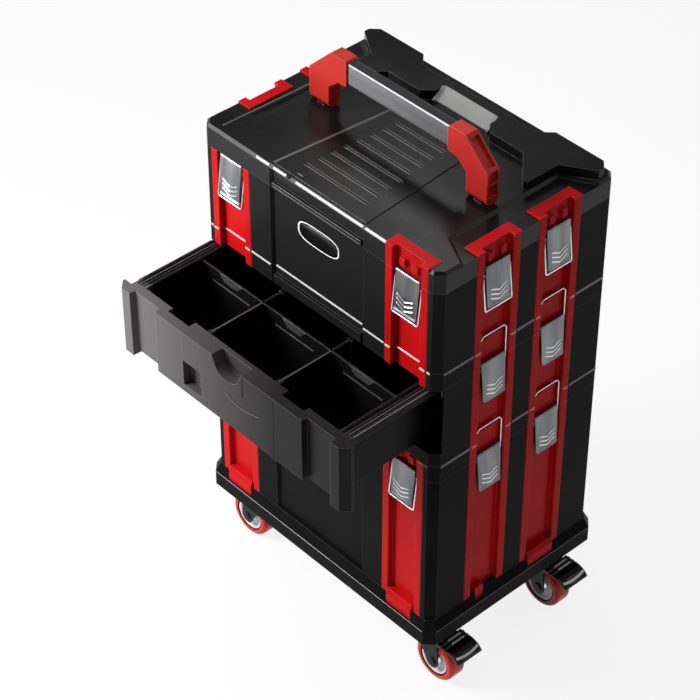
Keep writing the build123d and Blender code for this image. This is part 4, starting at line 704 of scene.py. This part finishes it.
for name, x, low, high, width, finish in FRONT_LINES:
    front_line(name, [(x, low), (x, high)], width, LINE_PROUD, finish)
step = np.linspace(0, 1, 33)
groove_x = GROOVE_START + GROOVE_LENGTH * step
groove_z = GROOVE_LEVEL - GROOVE_SAG * np.sin(np.pi * step ** 0.75) - GROOVE_DROP * step
front_line("finger_groove", np.column_stack((groove_x, groove_z + 1.6)), 2.4, LINE_PROUD, GROOVE_SHADOW)
front_line("finger_groove_lip", np.column_stack((groove_x, groove_z)), 0.9, LIP_PROUD, PALE_PAINTED_HIGHLIGHT)


# Painted highlights along the top edges of the short dividers and along the drawer's flanges

DIVIDER_TOP = node_box("drawer_dividers")[1][2]
DIVIDER_X = 70.0
DIVIDER_ENDS = (-296.0, -203.0)
FLANGE_X = 221.0
RIB_X = 213.0
RIB_DROP = 0.5
FLANGE_ENDS = (-300.0, -167.0)


def drawer_bar(name, x, ends, level, profile, finish):
    """A level bar on the drawer, from one y to another."""
    points, faces = swept([(x, ends[0], level), (x, ends[1], level)], UP, profile)
    return piece(name, points, faces, "drawer", (finish,))


for side, word in ((1, "right"), (-1, "left")):
    drawer_bar(f"divider_top_{word}", side * DIVIDER_X, DIVIDER_ENDS, DIVIDER_TOP, band(2.4), DIM_PAINTED_HIGHLIGHT)
for side, word in ((1, "right"), (-1, "left")):
    drawer_bar(f"flange_edge_{word}_{int(FLANGE_X)}", side * FLANGE_X, FLANGE_ENDS, DRAWER_TOP,
               band(1.3, high=0.25), PALE_PAINTED_HIGHLIGHT)
    drawer_bar(f"flange_edge_{word}_{int(RIB_X)}", side * RIB_X, FLANGE_ENDS, DRAWER_TOP - RIB_DROP,
               band(0.8, high=0.25), PALE_PAINTED_HIGHLIGHT)


# Latch levers: pressed sheet with a rolled knuckle, folded sides, a sunk panel and three raised chevrons

LATCHES = 16
STATIONS = [joint_place(f"latch_lever_{number}") for number in range(1, LATCHES + 1)]
KNUCKLE = 3.5
LEVER_HALF = 22.5
LEVER_TAPER = 1.6
LEVER_LENGTH = 62.0
LEVER_TILT = 4.0
LEVER_BOW = 0.5
LEVER_LIP = 1.0
LEVER_CROWN = 0.35
END_ROUND = 3.0
SHEET = 1.1
THIN_SHEET = 0.2
FOLD = 1.8
FLANGE_REACH = 4.1
FLANGE_TAPER = 2.6
PANEL_HALF = 19.5
PANEL_TOP = -35.0
PANEL_END = -59.5
PANEL_SOFT = 1.2
PANEL_DEPTH = 0.55
CHEVRON_TIPS = (-56.0, -48.5, -41.0)
CHEVRON_HALF = 15.0
CHEVRON_RISE = 7.0
CHEVRON_WIDTH = 1.7
CHEVRON_SOFT = 1.1
CHEVRON_HEIGHT = 1.1
BRACKET_HALF = 13.0
ROLL_ANGLE = 150.0
ROLL_CUT = 84.0
ROLL_ROWS = 12
DOWN_ROWS = 84


def station_frame(number):
    """The pin's middle, the way along it and the way out of the wall."""
    middle = STATIONS[number - 1]
    on_side = abs(middle[0]) > SIDES_FROM
    out = np.array((math.copysign(1, middle[0]), 0, 0) if on_side else FORWARD)
    return middle, np.cross(UP, out), out


def placed(number, local):
    """Points given as (along the pin, out of the wall, up) moved to a latch's place."""
    middle, along, out = station_frame(number)
    return middle + local[..., :1] * along + local[..., 1:2] * out + local[..., 2:] * np.array(UP)


def lever_columns():
    """Where each column lies across the lever, from edge to edge round both folded sides.

    Returns the share of the half width, the quarter circle's way across and back at the fold, and the
    depth of the flange behind it.
    """
    bend = np.linspace(0, np.pi / 2, 5)[1:]
    flat = np.linspace(-1, 1, 61)
    across = np.concatenate((-np.ones(6), flat, np.ones(6)))
    way_over = -FOLD + FOLD * np.sin(bend)
    corner = np.concatenate((np.zeros(2), way_over[::-1], np.full(61, -FOLD), way_over, np.zeros(2)))
    way_back = FOLD * (1 - np.cos(bend))
    fall = np.concatenate((np.full(2, FOLD), way_back[::-1], np.zeros(61), way_back, np.full(2, FOLD)))
    depth = np.concatenate(((1.0, 0.5), np.zeros(69), (0.5, 1.0)))
    return across, corner, fall, depth


def lever_sheet():
    """The lever's outer and inner skins, and the height of the chevrons over the outer one.

    Rows run from the back of the knuckle round it and down the sheet; columns run across it and round
    the folded sides. Over the bracket's knuckle the sheet is thin and rolls less far round, so it can
    turn. The chevrons are ridges that follow tip + rise times |across| over the half width.
    """
    across, corner, fall, depth = lever_columns()
    roll = np.concatenate((np.linspace(1, 0, ROLL_ROWS, endpoint=False), np.zeros(DOWN_ROWS)))[:, None]
    down = np.concatenate((np.zeros(ROLL_ROWS), np.linspace(0, 1, DOWN_ROWS)))[:, None]
    half = LEVER_HALF - LEVER_TAPER * smooth_step(down)
    u = across * (half - FOLD) + np.sign(across) * (np.abs(across) == 1) * (corner + FOLD)
    past_round = np.clip((np.abs(u) - half + END_ROUND) / END_ROUND, 0, 1)
    round_end = END_ROUND * (1 - np.sqrt(1 - past_round ** 2))
    z_down = -down * (LEVER_LENGTH - round_end * smooth_step(down))
    w_down = KNUCKLE + LEVER_TILT * down + LEVER_BOW * np.sin(np.pi * down)
    w_down = w_down + LEVER_LIP * smooth_step((down - 0.93) / 0.07) - LEVER_CROWN * (u / half) ** 2
    panel = smooth_step((PANEL_HALF - np.abs(u)) / PANEL_SOFT)
    panel = panel * smooth_step((PANEL_TOP - z_down) / PANEL_SOFT)
    panel = panel * smooth_step((z_down - PANEL_END) / PANEL_SOFT)
    ridge = np.zeros(u.shape)
    for tip in CHEVRON_TIPS:
        middle = tip + CHEVRON_RISE * np.abs(u) / CHEVRON_HALF
        ridge = np.maximum(ridge, smooth_step((CHEVRON_WIDTH - np.abs(z_down - middle)) / CHEVRON_SOFT))
    ridge = ridge * smooth_step((CHEVRON_HALF + 0.6 - np.abs(u)) / 0.8)
    w_down = w_down - PANEL_DEPTH * panel + CHEVRON_HEIGHT * ridge
    below_pin = smooth_step((-1.6 - z_down) / 2.0)
    reach = 0.12 + (FLANGE_REACH - FLANGE_TAPER * down) * below_pin
    w_flat = w_down - fall - depth * reach
    over_bracket = smooth_step(BRACKET_HALF + 1.4 - np.abs(u))
    angle = np.radians(ROLL_ANGLE - ROLL_CUT * over_bracket) * roll
    radius = KNUCKLE - np.minimum(fall, 0.6) - 0.1 * depth
    w = np.where(roll > 0, radius * np.cos(angle), w_flat)
    z = np.where(roll > 0, radius * np.sin(angle), z_down)
    thickness = SHEET - (SHEET - THIN_SHEET) * over_bracket * smooth_step((z_down + 3.6) / 3.2)
    outer = np.stack((u, w, z), axis=-1)
    normal = np.cross(np.gradient(outer, axis=1), np.gradient(outer, axis=0))
    normal /= np.linalg.norm(normal, axis=-1, keepdims=True)
    normal *= np.sign(normal[40, 36, 1])
    return outer, outer - thickness[..., None] * normal, ridge


sheet_outer, sheet_inner, ridge_height = lever_sheet()
sheet_count = (sheet_outer.shape[0] - 1) * (sheet_outer.shape[1] - 1)
ridge_of_face = (ridge_height[:-1, :-1] + ridge_height[1:, 1:]).ravel() > 1.1

for number in range(1, LATCHES + 1):
    points, faces = between(placed(number, sheet_outer), placed(number, sheet_inner))
    finish_of_face = np.zeros(len(faces), dtype=int)
    # Faces on the chevrons take the lighter finish: a painted highlight.
    finish_of_face[:sheet_count][ridge_of_face] = 1
    made = piece(f"lever_{number}_pressed", points, faces, f"lever_{number}", (LEVER, RIDGE_HIGHLIGHT),
                 finish_of_face, smooth=True)
    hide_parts(f"latch_lever_{number}")


# Wire bails that hang under their levers, bowed out at the lower end

HANGING = 8
BAIL_STUB = 20.5
BAIL_LEG = 24.6
BAIL_TOP = -10.0
BAIL_BEND = (2.0, -30.0)
BAIL_OUT = 6.4
BAIL_END = -66.8
BAIL_CORNER = 3.4
BAIL_WIRE = 1.3
half_bail = [(BAIL_STUB, 0.0, BAIL_TOP), (BAIL_LEG, 0.0, BAIL_TOP), (BAIL_LEG, *BAIL_BEND),
             (BAIL_LEG, BAIL_OUT, BAIL_END)]
bail_path = rounded_path([(-u, w, z) for u, w, z in half_bail] + half_bail[::-1], BAIL_CORNER)

for number in range(1, HANGING + 1):
    points, faces = tube(placed(number, bail_path), station_frame(number)[2], BAIL_WIRE)
    made = piece(f"bail_{number}_wire", points, faces, f"bail_{number}", (WIRE,), smooth=True)
    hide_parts(f"latch_bail_{number}")


# Wheels: turned tyre, dished hub and bright axle boss

CASTERS = 4
WHEEL_RADIUS = joint_place("wheel_spin_1")[2]
WHEEL_HALF = 15.0
ROUNDING = 6.0
TYRE_FROM = 28.0
GROOVE_FROM = 26.0
HUB_FROM = 10.0
WHEEL_COUNT = 96
quarter = np.linspace(0, np.pi / 2, 9)
shoulder = np.column_stack((WHEEL_RADIUS - ROUNDING + ROUNDING * np.sin(quarter),
                            WHEEL_HALF - ROUNDING + ROUNDING * np.cos(quarter)))
tread_along = np.linspace(WHEEL_HALF - ROUNDING, 0, 5)[1:]
tread = np.column_stack((np.full(4, WHEEL_RADIUS), tread_along))
boss = np.array([(4.3, 14.9), (8.2, 14.9), (9.2, 14.0), (9.8, 9.6)])
dish = np.array([(11.0, 9.0), (19.5, 9.0), (21.0, 9.8), (22.5, 12.6), (25.4, 13.6), (26.2, 12.4),
                 (26.9, 12.4), (27.8, 14.6), (29.5, 15.0)])
side_profile = np.concatenate((boss, dish, shoulder, tread))
mirrored = side_profile[-2::-1] * (1, -1)
wheel_profile = np.concatenate((side_profile, mirrored))
edge_radius = np.maximum(wheel_profile[:, 0], np.roll(wheel_profile[:, 0], -1))
# The ring between tyre and hub is near black as painted shadow.
zone = np.select((edge_radius > TYRE_FROM, edge_radius > GROOVE_FROM, edge_radius > HUB_FROM), (0, 3, 1), 2)

for number in range(1, CASTERS + 1):
    wheel = turned(wheel_profile, WHEEL_COUNT) + joint_place(f"wheel_spin_{number}")
    wheel_faces = quads(len(wheel_profile), WHEEL_COUNT, wrap_rows=True, wrap_columns=True)
    made = piece(f"wheel_{number}_turned", wheel.reshape(-1, 3), wheel_faces, f"wheel_{number}",
                 (TYRE, HUB, CHROME, GROOVE_SHADOW), np.repeat(zone, WHEEL_COUNT), smooth=True)
    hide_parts(f"caster_wheel_{number}")


# Brake pedals: a glossy cover over the tread, with painted highlights in white on its two ribs and round the
# lip

TREAD_START = 43.2
TREAD_EDGE = 44.0
TREAD_END = 60.0
TREAD_TOP = 88.25
EDGE_DROP = 0.7
ARC_MIDDLE = 65.57
ARC_LEVEL = 60.58
ARC_RADIUS = 28.25
RIBS_END = 62.0
LIP_START = 79.0
LIP_END = 87.5
COVER_HALF = 24.4
COVER_LIFT = 0.5
COVER_SHEET = 1.4
COVER_COLUMNS = 61
RIBS = (50.0, 58.0)
RIB_HALF = 2.1
RIB_HEIGHT = 1.5
RIB_MIDDLE = 4.0
RIB_REACH = 13.0
LIP_LINE = 83.6
LIP_CURVE = 0.005
LIP_HALF = 3.2
LIP_HEIGHT = 0.9
LIP_REACH = 22.0
END_DROP = 1.6
END_SOFT = 2.4


def pedal_cover():
    """Outer and inner skins of the cover, and where it is white as a painted highlight; x is counted from the
    swivel.

    The tread is level, and past its end it falls along an arc of a circle. Each rib is a smooth step of
    the distance from its line, and the lip is one too, about a line that bends back with y squared. Rows
    lie closer together at the ribs and at the lip.
    """
    rows = np.concatenate((np.arange(TREAD_START, RIBS_END, 0.4), np.arange(RIBS_END, LIP_START, 2.0),
                           np.arange(LIP_START, LIP_END, 0.3)))
    columns = np.linspace(-1, 1, COVER_COLUMNS) * COVER_HALF
    x, y = np.meshgrid(rows, columns, indexing="ij")
    arc = ARC_LEVEL + np.sqrt(ARC_RADIUS ** 2 - (x - ARC_MIDDLE) ** 2)
    level = TREAD_TOP - EDGE_DROP * np.clip(TREAD_EDGE - x, 0, 1)
    sheet = np.where(x > TREAD_END, arc, level) + COVER_LIFT
    ribs = sum(smooth_step((RIB_HALF - np.abs(x - rib)) / 0.9) for rib in RIBS)
    lip = smooth_step((LIP_HALF - np.abs(x - LIP_LINE + LIP_CURVE * y * y)) / 2.4)
    rounding = END_DROP * smooth_step((np.abs(y) - LIP_REACH) / END_SOFT)
    top = np.stack((x, y, sheet + RIB_HEIGHT * ribs + LIP_HEIGHT * lip - rounding), axis=-1)
    low = np.stack((x, y * 0.99, sheet - COVER_SHEET - rounding), axis=-1)
    rib_highlight = (ribs > 0.3) & (np.abs(y - RIB_MIDDLE) < RIB_REACH)
    lip_highlight = (lip > 0.7) & (np.abs(y) < LIP_REACH)
    return top, low, rib_highlight | lip_highlight


cover_top, cover_low, cover_highlight = pedal_cover()
cover_zone = (cover_highlight[:-1, :-1] & cover_highlight[1:, 1:]).ravel().astype(int)
for number in (1, 2):
    swivel = joint_place(f"caster_swivel_{number}") * (1, 1, 0)
    points, faces = between(cover_top + swivel, cover_low + swivel)
    zones = np.zeros(len(faces), dtype=int)
    zones[:len(cover_zone)] = cover_zone
    piece(f"pedal_{number}_cover", points, faces, f"pedal_{number}",
          (PEDAL, WHITE_ENAMEL_AND_HIGHLIGHT), zones, smooth=True)


# Thin painted highlight line along the upper edge of the dolly's rim

DOLLY_HALF = node_box("dolly_frame")[1][:2]
DOLLY_CORNER = 15.0
DOLLY_EDGE = 146.0
dolly_x, dolly_y = DOLLY_HALF - DOLLY_CORNER
front_bar("dolly_edge_front", -dolly_x, dolly_x, -DOLLY_HALF[1] - 0.1, DOLLY_EDGE, SLANT, 0.9, "case",
          PALE_PAINTED_HIGHLIGHT)
points, faces = swept([(DOLLY_HALF[0], -dolly_y, DOLLY_EDGE), (DOLLY_HALF[0], dolly_y, DOLLY_EDGE)],
                      (-SLANT[1], 0, SLANT[2]), band(0.9))
piece("dolly_edge_right", points, faces, "case", (PALE_PAINTED_HIGHLIGHT,))


# Floor and light

FLOOR_FLAT = 36.0
FLOOR_RADIUS = 56.0
WALL_HEIGHT = 16.0
GLOW_SHARE = 0.85
WORLD_STRENGTH = 0.16


def studio_floor(name, count=96):
    """A level disc in metres whose border curves up into a low wall: a quarter of an ellipse turned round."""
    turn = np.linspace(0, np.pi / 2, 16)
    border = np.column_stack((FLOOR_FLAT + (FLOOR_RADIUS - FLOOR_FLAT) * np.sin(turn),
                              WALL_HEIGHT * (1 - np.cos(turn))))
    grid = turned(np.concatenate(([(0.0, 0.0)], border)), count)
    points = grid[..., UPRIGHT].reshape(-1, 3)
    mesh = bpy.data.meshes.new(name)
    mesh.from_pydata(points.tolist(), [], quads(len(grid), count, wrap_columns=True).tolist())
    mesh.polygons.foreach_set("use_smooth", np.full(len(mesh.polygons), True))
    face_out(mesh)
    made = bpy.data.objects.new(name, mesh)
    bpy.context.scene.collection.objects.link(made)
    return made


floor_finish = Finish("white floor")
floor_finish.shader.inputs["Base Color"].default_value = (0.86, 0.86, 0.86, 1.0)
floor_finish.shader.inputs["Roughness"].default_value = 0.9
floor_finish.shader.inputs["Specular IOR Level"].default_value = 0.1
rays = floor_finish.add("LightPath")
seen = floor_finish.add("Math", operation="MAXIMUM")
floor_finish.join(rays, "Is Camera Ray", seen, 0)
floor_finish.join(rays, "Is Glossy Ray", seen, 1)
seen_through = floor_finish.add("Math", operation="MAXIMUM")
floor_finish.join(seen, "Value", seen_through, 0)
floor_finish.join(rays, "Is Transmission Ray", seen_through, 1)
glow_share = floor_finish.add("Math", operation="MULTIPLY")
glow_share.inputs[1].default_value = GLOW_SHARE
floor_finish.join(seen_through, "Value", glow_share, 0)
glow = floor_finish.add("Emission")
glow.inputs["Strength"].default_value = 1.0
blend = floor_finish.add("MixShader")
floor_finish.join(glow_share, "Value", blend, 0)
floor_finish.join(floor_finish.shader, "BSDF", blend, 1)
floor_finish.join(glow, "Emission", blend, 2)
floor_finish.join(blend, "Shader", floor_finish.output, "Surface")
floor = studio_floor("floor")
floor.data.materials.append(floor_finish.material)

world = bpy.data.worlds.new("studio")
world.use_nodes = True
background = world.node_tree.nodes["Background"]
background.inputs["Color"].default_value = (1.0, 1.0, 1.0, 1.0)
background.inputs["Strength"].default_value = WORLD_STRENGTH
bpy.context.scene.world = world


def softbox(name, place, target, size, watts):
    """A square lamp that faces its target and that the camera doesn't see."""
    lamp = bpy.data.lights.new(name, "AREA")
    lamp.shape = "SQUARE"
    lamp.size = size
    lamp.energy = watts
    box = bpy.data.objects.new(name, lamp)
    box.location = place
    box.rotation_mode = "QUATERNION"
    box.rotation_quaternion = (Vector(target) - Vector(place)).to_track_quat("-Z", "Y")
    box.visible_camera = False
    bpy.context.scene.collection.objects.link(box)


softbox("front left key", place=(-1.45, -1.70, 2.05), target=(0.0, -0.1, 0.55), size=1.3, watts=88.0)
softbox("right rear rim", place=(1.70, 1.40, 2.00), target=(0.0, 0.0, 0.50), size=1.0, watts=4.5)
softbox("top fill", place=(-0.2, 0.2, 3.2), target=(0.0, 0.0, 0.5), size=1.8, watts=22.0)
softbox("lid glow", place=(-1.10, 1.04, 2.22), target=(0.13, -0.09, 0.80), size=0.35, watts=2.4)
softbox("drawer side light", place=(-0.46, -0.72, 0.66), target=(-0.20, -0.33, 0.54), size=0.25, watts=3.0)
